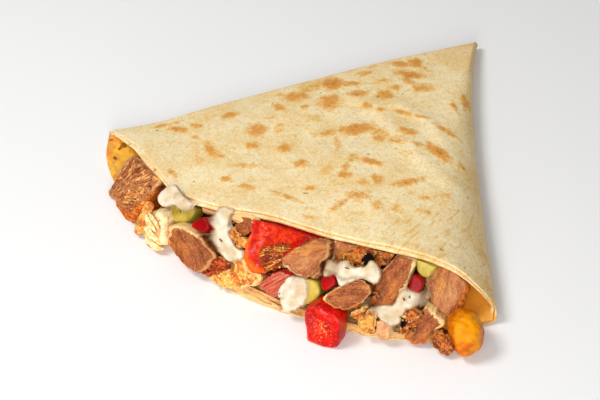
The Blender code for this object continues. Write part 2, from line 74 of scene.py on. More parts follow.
# Brown griddle spots on the top: across, share of the reach, length, width, turn and strength.
TOP_SPOTS = (
    (0.151, 0.245, 7.6, 6, -65, 0.8), (0.219, 0.210, 6.5, 8, -52, 0.9),
    (0.367, 0.213, 7.9, 3.9, -25, 0.4), (0.338, 0.259, 13.6, 5.7, -28, 0.9),
    (0.381, 0.290, 8.9, 4.2, -5, 0.7), (0.531, 0.313, 9.5, 6.6, -31, 0.7),
    (0.378, 0.336, 6.1, 3.9, -39, 0.7), (0.384, 0.379, 8, 7.2, -21, 0.8),
    (0.267, 0.332, 9.5, 3.2, -66, 0.4), (0.124, 0.347, 9.3, 4.1, -65, 0.6),
    (0.081, 0.310, 5.4, 3, -81, 0.4), (0.112, 0.445, 10.3, 11.3, -92, 0.9),
    (0.167, 0.406, 10.4, 5, -52, 0.7), (0.085, 0.492, 13.2, 8.4, -76, 0.5),
    (0.275, 0.412, 10.4, 5.6, -62, 0.7), (0.238, 0.494, 10.3, 12.2, -49, 0.75),
    (0.120, 0.553, 11.4, 8.2, -70, 0.8), (0.069, 0.580, 5.3, 3.7, -56, 0.4),
    (0.207, 0.564, 4.1, 3.8, -59, 0.7), (0.150, 0.618, 9.2, 4, -5, 0.7),
    (0.185, 0.653, 5.2, 4.7, -51, 0.3), (0.288, 0.570, 7.6, 5.4, -46, 0.4),
    (0.218, 0.714, 8.6, 10.1, -68, 0.8), (0.254, 0.661, 4.6, 7.2, -48, 0.5),
    (0.271, 0.754, 6.6, 6, -73, 0.7), (0.345, 0.712, 7.4, 6.9, -59, 0.7),
    (0.436, 0.764, 6.7, 5.5, -69, 0.75), (0.516, 0.772, 6, 4.5, -83, 0.5),
    (0.459, 0.561, 16.6, 8, -48, 0.9), (0.390, 0.602, 13.5, 4.4, -53, 0.6),
    (0.455, 0.639, 13.1, 3.9, -129, 0.4), (0.383, 0.448, 5.3, 4.4, -21, 0.8),
    (0.455, 0.457, 4.3, 3.1, -16, 0.7), (0.571, 0.447, 10, 2.8, -1, 0.8), (0.674, 0.451, 11, 2.1, 0, 0.6),
    (0.654, 0.527, 9.5, 4.9, -7, 0.8), (0.561, 0.569, 7.5, 10.9, -31, 0.6),
    (0.628, 0.574, 12.6, 4.9, -23, 0.5), (0.724, 0.576, 6.9, 3.1, 2, 0.6),
    (0.812, 0.587, 14.8, 6.5, 29, 0.9), (0.828, 0.491, 14.3, 3.1, 21, 0.7),
    (0.605, 0.690, 12.7, 3.8, -5, 0.8), (0.546, 0.696, 7, 4.7, -75, 0.6),
    (0.554, 0.743, 7.2, 3.2, -102, 0.6), (0.573, 0.773, 6.1, 5.1, -54, 0.8),
    (0.660, 0.757, 4.9, 6.7, -27, 0.7), (0.630, 0.781, 6.3, 5.3, -28, 0.4),
    (0.748, 0.739, 14.6, 4.2, -38, 0.75), (0.641, 0.842, 11.3, 6.3, -43, 0.6),
    (0.616, 0.897, 11.5, 3.5, -75, 0.6), (0.524, 0.858, 5.1, 3.6, -63, 0.7),
    (0.490, 0.914, 16.9, 2.7, -1, 0.6), (0.809, 0.783, 5, 2.8, -21, 0.6),
    (0.701, 0.859, 5.2, 6.4, -24, 0.5), (0.745, 0.850, 7.1, 2.8, -99, 0.6),
    (0.817, 0.840, 5.9, 2.7, -21, 0.6), (0.909, 0.328, 9.1, 5.2, 63, 0.8),
    (0.831, 0.371, 10, 2.3, 60, 0.7), (0.871, 0.751, 5.5, 3.2, -27, 0.5),
    (0.334, 0.823, 12.9, 3.3, -42, 0.5), (0.396, 0.902, 8.3, 3.7, -20, 0.55),
    (0.702, 0.624, 11.6, 3.9, -23, 0.3), (0.920, 0.610, 7.1, 2.2, 45, 0.6),
    (0.078, 0.876, 10.6, 4.5, -37, 0.8), (0.037, 0.884, 11.3, 3.5, -89, 0.6),
    (0.088, 0.833, 8.5, 3.5, -24, 0.8), (0.140, 0.864, 4.7, 3, -23, 0.6),
    (0.100, 0.743, 8.2, 5.4, -93, 0.8), (0.076, 0.782, 6.5, 3.1, -63, 0.4),
    (0.223, 0.856, 13.8, 4.7, 14, 0.7), (0.258, 0.845, 4.1, 3.4, -47, 0.6),
    (0.240, 0.899, 5, 4.6, -100, 0.5), (0.337, 0.897, 4.9, 3.7, -19, 0.8),
    (0.244, 0.976, 6.9, 3.1, 7, 0.7), (0.563, 0.939, 6.5, 2.2, -32, 0.5),
    (0.582, 0.963, 6.9, 2.2, -31, 0.5),)

# Soft creases in the top sheet: height, half width, and their course across and along it.
CREASES = ((0.7, 4.0, ((0.27, 0.44), (0.39, 0.43), (0.50, 0.41), (0.60, 0.43), (0.69, 0.45), (0.80, 0.52))),
           (0.6, 5.0, ((0.45, 0.46), (0.58, 0.52), (0.72, 0.60), (0.88, 0.70))))

# Waves of the sheet: height, size and seed. A spot's bell is a little smaller than the spot, with
# a steep edge, and the sheet rises by a blister under it.
WAVES = ((0.45, 60, 3), (0.16, 17, 4), (0.05, 6, 5))
SPOT_LONG, SPOT_WIDE, SPOT_EDGE, BLISTER = 0.60, 0.64, 1.6, 0.30
SHEETS_APART = 90


def smooth_curve(knots, place):
    """A curve through the knots: a cubic on each span, with slopes taken from the neighbours."""
    along, value = np.array(knots, float).T
    slope = np.gradient(value, along)
    left = np.clip(np.searchsorted(along, place, side="right") - 1, 0, len(along) - 2)
    span = along[left + 1] - along[left]
    u = (place - along[left]) / span
    start = (1 + 2 * u) * (1 - u) ** 2 * value[left] + u * (1 - u) ** 2 * span * slope[left]
    end = u ** 2 * (3 - 2 * u) * value[left + 1] - u ** 2 * (1 - u) * span * slope[left + 1]
    return start + end


def fan_angle(across):
    """Angle from the middle of the fan, in radians."""
    return math.radians(FAN_DEG) * (np.asarray(across, float) - 0.5)


def lip_reach(across):
    """Reach of the top sheet's lip at one place across."""
    return float(smooth_curve(LIP_REACH, np.array(across)))


def heading(degrees):
    """The cosine and the sine of a turn."""
    return math.cos(math.radians(degrees)), math.sin(math.radians(degrees))


def ramp(value, start, run):
    """Nought up to the start, then straight up to one over the run."""
    return np.clip((value - start) / run, 0, 1)


def at(across, reach, height):
    """The point at that place, in millimetres."""
    angle = fan_angle(across)
    x = POINT_X + reach * np.sin(angle)
    y = POINT_Y - reach * np.cos(angle)
    return np.stack(np.broadcast_arrays(x, y, height), -1)


def rough(points, size, seed, count=12):
    """Seeded bumps of about that size: sine waves in random directions, summed to about -1 to 1."""
    draw = np.random.default_rng(seed)
    run = draw.normal(size=(count, 3))
    run *= 2 * math.pi / size * draw.uniform(0.7, 1.4, (count, 1)) / np.linalg.norm(run, axis=1)[:, None]
    return np.sin(points @ run.T + draw.uniform(0, 6.28, count)).sum(-1) / math.sqrt(count)


def crest(across):
    """Rise of the top sheet from the folds to its crest: gentle on the left, steep on the right."""
    left = 1 - np.clip(1 - across / CREST_ACROSS, 0, 1) ** LEFT_SLOPE
    right = 1 - np.clip((across - CREST_ACROSS) / (1 - CREST_ACROSS), 0, 1) ** RIGHT_SLOPE
    return np.where(across < CREST_ACROSS, left, right)


def to_line(across, share, course):
    """Distance from each place on the top sheet to a course of straight runs, in millimetres."""
    reach = smooth_curve(LIP_REACH, across) * share
    here = np.stack([reach * np.sin(fan_angle(across)), reach * np.cos(fan_angle(across))], -1)
    knots = np.array(course, float)
    far = smooth_curve(LIP_REACH, knots[:, 0]) * knots[:, 1]
    knots = np.stack([far * np.sin(fan_angle(knots[:, 0])), far * np.cos(fan_angle(knots[:, 0]))], -1)
    nearest = np.full(here.shape[:-1], 1e9)
    for start, end in zip(knots[:-1], knots[1:]):
        run = end - start
        part = np.clip((here - start) @ run / (run @ run), 0, 1)
        nearest = np.minimum(nearest, np.linalg.norm(here - start - part[..., None] * run, axis=-1))
    return nearest


def toasted(across, share, spots):
    """How deep each place lies in a griddle spot: a bell over the spot's length and width."""
    angle, reach = fan_angle(across), smooth_curve(LIP_REACH, across) * share
    depth = np.zeros(np.shape(angle))
    for middle, spot_share, length, width, turn, strength in spots:
        far = lip_reach(middle) * spot_share
        x, y = (angle - fan_angle(middle)) * far, reach - far
        cos, sin = heading(turn)
        along, side = (x * cos + y * sin) / (SPOT_LONG * length), (y * cos - x * sin) / (SPOT_WIDE * width)
        depth = np.maximum(depth, strength * np.exp(-(along ** 2 + side ** 2) ** SPOT_EDGE))
    return depth


def griddle_spots(count, seed):
    """Spots for the sheet that lies on the table, laid out at random."""
    draw = np.random.default_rng(seed)
    return np.stack([draw.uniform(0.03, 0.97, count), draw.uniform(0.2, 0.98, count) ** 0.6,
                     draw.uniform(5, 16, count), draw.uniform(3, 9, count),
                     draw.uniform(-90, 90, count), draw.uniform(0.4, 0.9, count)], -1)


def unevenness(across, share, top):
    """How far the sheet stands off its smooth form: broad waves, creases, and a blister at each spot."""
    across, share = np.broadcast_arrays(across, share)
    angle, reach = fan_angle(across), share * MEAN_REACH
    flat = np.stack([angle * share * MEAN_REACH, reach, 0 * across + SHEETS_APART * top], -1)
    waves = sum(height * rough(flat, size, seed) for height, size, seed in WAVES)
    if not top:
        return 0.3 + 0.3 * waves
    for height, half, course in CREASES:
        waves = waves + height * np.exp(-(to_line(across, share, course) / half) ** 2)
    return waves + BLISTER * toasted(across, share, TOP_SPOTS)


def sheet(across, share, depth, top, inset=None):
    """Points of the crepe's wall, at shares of the reach and a depth under its outer face.

    Both sheets are flat fans. The top one rises by the crest, more towards the mouth, and both
    round off in a quarter circle at the two folds. Unevenness fades out towards the folds.
    """
    chord = 2 * MEAN_REACH * math.sin(math.radians(FAN_DEG) / 2) * share
    inset = SIDE_INSET * depth if inset is None else inset
    side = np.minimum(inset / np.maximum(chord, 1), 0.45)
    across = side + across * (1 - 2 * side)
    reach = smooth_curve(LIP_REACH if top else FLOOR_REACH, across)
    point = at(across, share * reach, 0.0)
    run = np.clip(share, 0, 1)
    waist = np.sin(math.pi * run ** 0.7) * across ** 4 * RIGHT_WAIST
    point[..., 0] += smooth_curve(LEFT_SIDE, run) * (1 - across) ** 4 - waist

    press = 1 - TIP_PRESS * run ** 4 * (1 - across) ** 12
    fold, depth = FOLD_HEIGHT * press, depth * press
    to_fold = np.minimum(across, 1 - across) * chord
    rounding = np.sqrt(1 - (1 - np.clip(2 * to_fold / fold, 0, 1)) ** 2)
    middle = 0.4 * fold + TIP_LIFT * run ** 8 * ((1 - across) ** 10 + across ** 10)
    uneven = (unevenness(across, share, top) * ramp(to_fold, 0, SMOOTH_BY_FOLD)
              * ramp(share, 0, SMOOTH_AT_POINT))
    if top:
        swell = (CREST_HEIGHT - FOLD_HEIGHT) * share * (1.1 - 0.1 * share) * crest(across)
        point[..., 2] = middle + 0.6 * fold * rounding + swell - depth + uneven
    else:
        point[..., 2] = middle - 0.4 * fold * rounding + depth + np.maximum(uneven, 0)
    return point


def across_steps(count):
    """Places across the mouth, closer together near the folds."""
    even = (np.arange(count) + 0.5) / count
    return 0.6 * even + 0.4 * (1 - np.cos(math.pi * even)) / 2


def round_the_cone(shares, depths, count, ends=(1.0, 1.0)):
    """Rows of closed loops round the cone, at those shares and depths: over the top, back below.

    The ends are the shares at which the top and the floor end. Returns the points and, for each,
    its place across, its share and whether it is in the top.
    """
    across = across_steps(count)[None, :]
    shares, depths = np.array(shares, float)[:, None], np.array(depths, float)[:, None]
    top, floor = [sheet(across, shares * (1 + (end - 1) * shares ** 12), depths, is_top)
                  for end, is_top in zip(ends, (True, False))]
    floor = floor[:, ::-1]
    across = np.broadcast_to(across, top.shape[:2])
    even = np.broadcast_to(shares, top.shape[:2])
    places = [np.concatenate([across, across[:, ::-1]], 1), np.concatenate([even, even], 1),
              np.concatenate([0 * across + 1, 0 * across], 1)]
    return np.concatenate([top, floor], 1), places


def pressed_flat(loop):
    """The loop pressed onto the line midway between its top and its bottom, which closes the end."""
    half = len(loop) // 2
    line = (loop[:half] + loop[:half - 1:-1]) / 2
    return np.concatenate([line, line[::-1]])


def skin_over(loops, within):
    """The points of a grid, its triangles, and which grid point each point is.

    The rows are loops that end in a point or a line. Points that coincide become one, each cell
    that has a corner within the form becomes two triangles, and a grid that would face inwards is
    turned round.
    """
    points = loops.reshape(-1, 3)
    _, first, merged = np.unique(np.round(points, 4), axis=0, return_index=True, return_inverse=True)
    index = merged.reshape(loops.shape[:2])
    after = np.roll(index, -1, 1)
    a, b, c, d = index[:-1], after[:-1], after[1:], index[1:]
    beside = within | np.roll(within, -1, 1)
    triangles = np.stack([np.stack([a, b, c], -1), np.stack([a, c, d], -1)], 2)
    triangles = triangles[beside[:-1] | beside[1:]].reshape(-1, 3)
    one, two, three = triangles.T
    triangles = triangles[(one != two) & (two != three) & (three != one)]
    corners = points[first][triangles]
    volume = (corners[:, 0] * np.cross(corners[:, 1], corners[:, 2])).sum()
    used, triangles = np.unique(triangles if volume > 0 else triangles[:, ::-1], return_inverse=True)
    return points[first][used] * MM, triangles.reshape(-1, 3), first[used]


def surface(name, grids, finish, marks=None, stands_for=(), within=None):
    """A piece with a closed skin over each grid of points, in millimetres, and marks kept at its points."""
    if not isinstance(grids, list):
        grids, marks = [grids], {mark: [values] for mark, values in (marks or {}).items()}
    whole = within is None
    skins = [skin_over(loops, np.ones(loops.shape[:2], bool) if whole else within) for loops in grids]
    start = np.cumsum([0] + [len(points) for points, _, _ in skins])
    points = np.concatenate([points for points, _, _ in skins])
    triangles = np.concatenate([faces + begin for (_, faces, _), begin in zip(skins, start)])
    mesh = bpy.data.meshes.new(name)
    mesh.from_pydata(points.tolist(), [], triangles.tolist())
    for mark, values in (marks or {}).items():
        wide = values[0].ndim == 3
        chosen = [part.reshape(-1, 3)[first] if wide else part.reshape(-1)[first]
                  for part, (_, _, first) in zip(values, skins)]
        kept = mesh.attributes.new(mark, "FLOAT_VECTOR" if wide else "FLOAT", "POINT")
        flat = np.concatenate(chosen).astype(np.float32).ravel()
        kept.data.foreach_set("vector" if wide else "value", flat)
    mesh.shade_smooth()
    mesh.materials.append(finish)
    body = bpy.data.objects.new(name, mesh)
    bpy.context.scene.collection.objects.link(body)
    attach(body, "root")
    if stands_for:
        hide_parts(*stands_for)


class Wire:
    """The output of a shader node. Sums and products of it add Math nodes."""

    def __init__(self, finish, socket):
        self.finish, self.socket = finish, socket

    def __add__(self, other):
        return self.finish.math("ADD", self, other)

    def __sub__(self, other):
        return self.finish.math("SUBTRACT", self, other)

    def __rsub__(self, other):
        return self.finish.math("SUBTRACT", other, self)

    def __mul__(self, other):
        return self.finish.math("MULTIPLY", self, other)

    __radd__, __rmul__ = __add__, __mul__


class Finish:
    """A material in the making: one shader, and the nodes that vary it over the surface."""

    def __init__(self, name, fixed):
        self.material = bpy.data.materials.new(name)
        self.material.use_nodes = True
        self.tree = self.material.node_tree
        self.shader = self.tree.nodes["Principled BSDF"]
        for socket, value in fixed.items():
            self.shader.inputs[socket].default_value = value

    def set(self, socket, value):
        """Links a wire to the shader's socket."""
        self.tree.links.new(value.socket, self.shader.inputs[socket])

    def node(self, kind, settings, inputs, output=0):
        """Adds a node, with its settings first, because they decide which sockets it has."""
        node = self.tree.nodes.new("ShaderNode" + kind)
        for key, value in settings.items():
            setattr(node, key, value)
        for key, value in inputs.items():
            if isinstance(value, Wire):
                self.tree.links.new(value.socket, node.inputs[key])
            else:
                node.inputs[key].default_value = value
        return Wire(self, node.outputs[output])

    def math(self, operation, one, two):
        """Arithmetic on two numbers or wires."""
        return self.node("Math", {"operation": operation}, {0: one, 1: two})

    def place(self):
        """Where the point is in the object, in metres."""
        return self.node("TexCoord", {}, {}, "Object")

    def mark(self, name, wide=False):
        """A number, or a direction if wide, kept at the mesh's points."""
        return self.node("Attribute", {"attribute_name": name}, {}, "Vector" if wide else "Fac")

    def stretched(self, place, amounts):
        """The place scaled along its three axes."""
        return self.node("VectorMath", {"operation": "MULTIPLY"}, {0: place, 1: amounts})

    def noise(self, place, scale, detail=3.0, roughness=0.5, warp=0.0):
        """Cloudy noise around one half."""
        return self.node("TexNoise", {}, {"Vector": place, "Scale": scale, "Detail": detail,
                                          "Roughness": roughness, "Distortion": warp})

    def step(self, value, low, high):
        """Nought below low, one above high, and a smooth rise between."""
        return self.node("MapRange", {"interpolation_type": "SMOOTHSTEP"},
                         {"Value": value, "From Min": low, "From Max": high})

    def mix(self, amount, one, two):
        """The first colour with that amount of the second over it. Each is a wire or as a screen shows it."""
        one, two = [colour if isinstance(colour, Wire) else tint(*colour) for colour in (one, two)]
        return self.node("Mix", {"data_type": "RGBA"}, {0: amount, 6: one, 7: two}, 2)

    def laid(self, colour, *layers):
        """The colour with layers over it: each lies where a wire runs from low to high, so strong at most."""
        for wire, low, high, strength, over in layers:
            amount = self.step(wire, low, high)
            colour = self.mix(amount if strength == 1 else amount * strength, colour, over)
        return colour

    def deeper(self, colour, power):
        """The colour raised to that power, which deepens its dark tones more than its light ones."""
        return self.node("Gamma", {}, {"Color": colour, "Gamma": power})

    def bump(self, height, distance, strength):
        """Fine relief of that many metres."""
        return self.node("Bump", {}, {"Height": height, "Distance": distance, "Strength": strength})


def tint(red, green, blue):
    """A colour as a screen shows it, from 0 to 255, in the shader's own even scale."""
    screen = np.array([red, green, blue]) / 255
    return (*np.where(screen < 0.04045, screen / 12.92, ((screen + 0.055) / 1.055) ** 2.4), 1.0)


def crepe_finish():
    """Matt baked batter: cream, clouded and grained, with brown spots, freckles, a cheese stain, a browner
    tone near the point and the right fold that is partly painted shade, and a painted glow at the right end.
    """
    made = Finish("crepe", {"Specular IOR Level": 0.25, "Emission Strength": 1.0})
    place, flat, inside = made.place(), made.mark("flat", True), made.mark("inside")
    clouds, grain = made.noise(place, 60), made.noise(place, 900, 3, 0.6)
    pores = made.noise(place, 420, 3, 0.6)
    ragged = made.noise(place, 300, 5, 0.85)
    toast = made.mark("toast") * 1.1 + (ragged - 0.5) * 2.9
    streaks = made.noise(made.stretched(flat, (1.0, 0.22, 1.0)), 0.5, 3, 0.55)
    freckles = streaks + made.noise(place, 60, 2) * 0.4 + made.mark("freckled") * 0.20
    specks = made.noise(place, 330, 0.0, 0.0) + made.mark("freckled") * 0.03
    colour = made.laid((250, 230, 182),
                       (clouds, 0.36, 0.66, 1, (243, 213, 150)),
                       (pores, 0.46, 0.68, 0.30, (236, 196, 122)),
                       (pores, 0.46, 0.28, 0.40, (255, 247, 216)),
                       (grain, 0.5, 0.72, 0.40, (222, 180, 106)),
                       (grain, 0.5, 0.3, 0.45, (255, 248, 222)),
                       (toast, 0.16, 0.32, 0.70, (240, 186, 98)),
                       (toast, 0.46, 0.72, 0.80, (222, 148, 56)),
                       (toast, 0.95, 1.30, 0.80, (180, 104, 34)),
                       (freckles, 0.92, 1.04, 0.55, (226, 172, 92)),
                       (specks, 0.84, 0.87, 0.6, (150, 92, 38)))

    blotches = made.noise(place, 120, 3, 0.6)
    stain = made.step(made.mark("stain") + (blotches - 0.5) * 0.8, 0.22, 0.60)
    rich = made.mark("left")
    cheesy = made.laid((250, 190, 50), (made.noise(place, 150, 3, 0.6), 0.38, 0.60, 1, (226, 132, 6)))
    burnt = made.step(made.noise(place, 230, 1.0, 0.4) + stain * 0.05, 0.69, 0.74) * inside * rich
    layers = made.step(made.noise(made.stretched(place, (1, 1, 7)), 260, 2), 0.42, 0.60)
    plies = made.step(made.noise(made.stretched(flat, (0.12, 1.4, 1)), 0.9, 2), 0.54, 0.62)
    floor_band = made.mark("floor_band")
    for amount, over in ((stain * 0.95, made.mix(rich, (255, 190, 58), cheesy)),
                         (burnt * 0.85, (122, 60, 12)),
                         (made.mark("edge") * layers * 0.7, (222, 160, 78)),
                         # golden brown with dark lines along the plies, on the floor's inner face near the
                         # mouth and on the torn plies: partly their own colour, partly painted shade under
                         # the pieces
                         (floor_band * 0.75, (222, 150, 64)),
                         (floor_band * plies * 0.7, (138, 76, 24)),
                         # browner tone near the point and the right fold, partly painted shade
                         (made.mark("shade") * 0.55, (222, 170, 94))):
        colour = made.mix(amount, colour, over)
    made.set("Base Color", colour)
    # painted light: the inner face glows orange over the cheese stain at the mouth's right end, standing in
    # for light that comes through the thin sheet
    through = inside * stain * (1 - rich) * (blotches * 1.6)
    made.set("Emission Color", made.mix(through, (0, 0, 0), (116, 72, 10)))
    made.set("Roughness", 0.82 - stain * 0.35)
    made.set("Normal", made.bump(grain * 0.4 + pores * 0.8 + ragged * 0.5, 0.0005, 0.6))
    return made.material


def ply_ends(across):
    """Shares at which the inner ply ends: past the outer one on top, and short of it below."""
    away = 1 - (2 * across - 1) ** 8
    ripple = np.sin(17 * across) + 0.6 * np.sin(41 * across + 1)
    return 1 + away * (1.3 + 0.5 * ripple) / MEAN_REACH, 1 - away * (2.6 + 0.8 * ripple) / MEAN_REACH


def crepe_marks(places, depths, inside):
    """What the crepe's finish reads: toasting, freckles, the cheese stain, its cut edge, and a browner tone
    near the point and at the right fold that is partly painted shade.
    """
    across, share, top = places
    floor, depths = 1 - top, np.array(depths, float)[:, None] + 0 * across
    toast = np.where(top > 0, toasted(across, share, TOP_SPOTS), toasted(across, share, griddle_spots(90, 8)))
    edge = share > 0.995 if inside else (share > 0.993) & (depths > 0.1)
    edge = edge * np.where(top > 0, 0.5, 1.0) + floor * ramp(share, 0.955, 0.03) * 0.7
    ends = ramp(-across, -0.168, 0.07) + ramp(across, 0.86, 0.06)
    lined = np.maximum(inside, floor * (depths > 0.3 * PLY))
    stain = lined * ends * (share > 0.6) * (1 - 0.8 * ramp(share, 0.95, 0.04) * top)
    # browner near the point and at the right fold: partly the sheet's own colour, partly painted shade where
    # it turns from the light
    shade = ramp(-share, -0.22, 0.22) + ramp(across, 0.90, 0.10) * 0.5
    middle = ramp(-abs(across - 0.5), -0.42, 0.12)
    far = smooth_curve(LIP_REACH, across) * share
    return {"toast": toast * (0.5 if inside else 1.0), "edge": edge, "stain": stain, "shade": shade,
            "freckled": top * ramp(across, 0.45, 0.4) * ramp(share, 0.4, 0.5),
            # the floor's inner face near the mouth: partly the plies' own colour, partly painted shade under
            # the pieces
            "floor_band": floor * inside * ramp(share, 0.90, 0.06) * middle,
            "left": ramp(-across, -0.45, 0.3), "inside": inside + 0 * across,
            "flat": np.stack([fan_angle(across) * far, far, 300 * top], -1)}


crepe_skin = crepe_finish()


def make_crepe():
    """The outer ply, and the inner ply that shows past it and inside the mouth."""
    rows = np.linspace(POINT_SHARE, LIP_SHARE, 175)
    shares = np.concatenate([[0.0], rows, [1, 1, 1, LIP_SHARE], np.linspace(HOLLOW_END, HOLLOW_START, 14)])
    depths = np.concatenate([[0.0], 0 * rows, PLY * np.array([0.25, 0.5, 0.8, 1]), np.full(14, PLY)])
    loops, places = round_the_cone(shares, depths, COLUMNS)
    loops[0] = at(0.5, 0.0, 0.4 * FOLD_HEIGHT)
    loops = np.concatenate([loops, pressed_flat(loops[-1])[None]])
    places = [np.concatenate([values, values[-1:]]) for values in places]
    depths = np.append(depths, PLY)
    surface("crepe_outer_ply", loops, crepe_skin, crepe_marks(places, depths, 0.0), ("crepe",))

    inner = PLY + PLY_GAP
    back, front = np.linspace(HOLLOW_START, HOLLOW_END, 12), np.linspace(LIP_SHARE, HOLLOW_START, 90)
    shares = np.concatenate([back, [LIP_SHARE, 1, 1, 1, 1], front])
    rounding = inner + PLY * np.array([0, 0.2, 0.5, 0.8, 0.95])
    depths = np.concatenate([0 * back + inner, rounding, 0 * front + WALL])
    loops, places = round_the_cone(shares, depths, COLUMNS, ply_ends(across_steps(COLUMNS)[None, :]))
    loops = np.concatenate([pressed_flat(loops[0])[None], loops, pressed_flat(loops[-1])[None]])
    places = [np.concatenate([values[:1], values, values[-1:]]) for values in places]
    depths = np.concatenate([depths[:1], depths, depths[-1:]])
    surface("crepe_inner_ply", loops, crepe_skin, crepe_marks(places, depths, 1.0), ("crepe",))


make_crepe()


# The pieces of the filling. Each is cut or torn, so it has an outline of nearly straight sides, a
# face that is flatter than a ball's, and a rougher surface the more it was seared.

# A piece's corners are its outline, as places along and up its face, and its looks are what its own
# kind's functions read. A form has the powers for a piece's side and its face, how lumpy and how
# torn it is, and how many times the outline's corners are cut off.
Piece = namedtuple("Piece", "name seed across reach height deep lean looks corners")
Form = namedtuple("Form", "side face lump torn rounds")

# Everything stays a little off the table, and a little under the top sheet from some way behind its
# lip. Past the lip it may rise at a slope.
OFF_TABLE, LIP_ROOM, TUCKED_BEHIND, LIP_SLOPE = 0.3, 0.5, 25, 0.75


def cut_corners(corners, rounds):
    """The outline with its corners cut off at a quarter of each side, that many times over."""
    outline = np.array(corners, float)
    for _ in range(rounds):
        after = np.roll(outline, -1, 0)
        outline = np.stack([0.75 * outline + 0.25 * after, 0.25 * outline + 0.75 * after], 1).reshape(-1, 2)
    return outline


def to_outline(outline, turn):
    """Distance from the middle to the outline in each direction, where the ray meets a side."""
    run = np.roll(outline, -1, 0) - outline
    way = np.stack([np.cos(turn), np.sin(turn)], -1)[:, None]
    across = way[..., 0] * run[:, 1] - way[..., 1] * run[:, 0]
    across = np.where(np.abs(across) < 1e-9, 1e-9, across)
    far = (outline[:, 0] * run[:, 1] - outline[:, 1] * run[:, 0]) / across
    part = (outline[:, 0] * way[..., 1] - outline[:, 1] * way[..., 0]) / across
    return np.where((part > -0.01) & (part < 1.01), far, 0).max(-1)


def face_frame(across, lean):
    """A piece's own axes: along the mouth, up its face, and out of its face, leaned back from upright."""
    angle, lean = fan_angle(across), math.radians(lean)
    out = np.array([math.sin(angle), -math.cos(angle), 0.0])
    along = np.array([math.cos(angle), math.sin(angle), 0.0])
    upward = np.array([0.0, 0.0, 1.0])
    return np.stack([along, upward * math.cos(lean) - out * math.sin(lean),
                     out * math.cos(lean) + upward * math.sin(lean)])


def seeded_waves(direction, seed):
    """Smooth seeded lumps between about -1 and 1: four sine waves in directions drawn at random."""
    draw = np.random.default_rng(seed)
    total = 0.0
    for step in range(4):
        run = draw.normal(size=3) * (1.2 + 0.5 * step)
        total = total + np.sin(direction @ run + draw.uniform(0, 6.28)) / (2 + 0.5 * step)
    return total


def outward(loops):
    """Unit normals of a grid of closed loops, from its slopes along the rows and the columns."""
    round_it = np.roll(loops, -1, 1) - np.roll(loops, 1, 1)
    down = np.gradient(loops, axis=0)
    normal = np.cross(down, round_it)
    normal[0], normal[-1] = normal[1].mean(0), normal[-2].mean(0)
    return normal / np.maximum(np.linalg.norm(normal, axis=-1, keepdims=True), 1e-9)


def above_table(points):
    """The points, with those too low lifted."""
    points[..., 2] = np.maximum(points[..., 2], OFF_TABLE)
    return points


def tucked(points):
    """The points kept under the crepe: below the top sheet, and below a slope that rises from its lip."""
    x, y, z = np.moveaxis(points, -1, 0)
    across = np.clip(np.arctan2(x - POINT_X, POINT_Y - y) / math.radians(FAN_DEG) + 0.5, 0.02, 0.98)
    reach, lip = np.hypot(x - POINT_X, y - POINT_Y), smooth_curve(LIP_REACH, across) + PLY
    under = sheet(across, np.minimum(reach / lip, 1), WALL + LIP_ROOM, True, 0.0)[..., 2]
    low = np.minimum(z, under + LIP_SLOPE * np.maximum(reach - lip, 0))
    return np.stack([x, y, np.where(reach > lip - TUCKED_BEHIND, low, z)], -1)


def chunk(piece, form, relief, rows=52, columns=112, dish=0.0):
    """Loops of a piece, from the middle of its face to the middle of its back, with its marks.

    Across, the outline, torn by small seeded teeth, is scaled by a power of the sine of the angle
    from the face. In depth, a power of the cosine makes the face flat. Rows lie evenly along that
    curve. The relief, in millimetres, then moves each point along its normal, and a dish sinks the
    middle of the face.
    """
    angle = np.linspace(0, math.pi, 2000)
    wide, deep = np.sin(angle) ** form.side, np.sign(np.cos(angle)) * np.abs(np.cos(angle)) ** form.face
    wide[-1] = 0
    turn = np.linspace(0, 2 * math.pi, columns, endpoint=False)
    cos, sin = np.cos(turn), np.sin(turn)
    far = to_outline(cut_corners(piece.corners, form.rounds), turn)
    teeth = np.stack([far * cos, far * sin, 0 * turn], -1)
    far = far + form.torn * (rough(teeth, 3.2, piece.seed + 17) + 0.5 * rough(teeth, 1.5, piece.seed + 18))
    length = np.append(0, np.cumsum(np.hypot(np.diff(wide) * far.mean(), np.diff(deep) * piece.deep / 2)))
    even = np.interp(np.linspace(0, length[-1], rows + 1), length, angle)
    wide, deep = np.interp(even, angle, wide)[:, None], np.interp(even, angle, deep)[:, None]
    sine, cosine = np.sin(even)[:, None], np.cos(even)[:, None]
    way = np.stack(np.broadcast_arrays(sine * cos, sine * sin, cosine), -1)
    lumps = 1 + form.lump * seeded_waves(way, piece.seed)
    spread, sunk = wide * far * lumps, dish * np.clip(cosine, 0, 1) * (1 - wide ** 3)
    local = np.stack([spread * cos, spread * sin, deep * piece.deep / 2 * lumps - sunk], -1)
    raised = relief(local, piece.seed)
    local = local + outward(local) * raised[..., None]
    world = at(piece.across, piece.reach, piece.height) + local @ face_frame(piece.across, piece.lean)
    return above_table(tucked(world)), {"rim": wide + 0 * raised, "raised": raised, "local": local}, turn


def grained(local, turn, fan=500.0):
    """The local place as along, across and through the fibres, which spread from a point that far back."""
    cos, sin = heading(turn)
    x, y, z = np.moveaxis(local, -1, 0)
    along, side = x * cos + y * sin + fan, y * cos - x * sin
    return np.stack([np.hypot(along, side) - fan, np.arctan2(side, along) * fan, z], -1)


def towards(turn, side):
    """How far each direction round a piece points to its side, from -1 to 1."""
    return np.cos(turn - math.radians(side))


visible = {}


def keep(name, loops, marks, finish):
    """Adds the piece in place of its node, and remembers its points for the sauce to lie on."""
    visible[name] = loops.reshape(-1, 3)
    surface(name + "_piece", loops, finish, marks, (name,))


# Diced tomato: firm dark red flesh, cut by hand in small cubes, wet and glossy. One lies at the
# left, one in the middle and one at the right, pressed in between the chicken and the sauce.

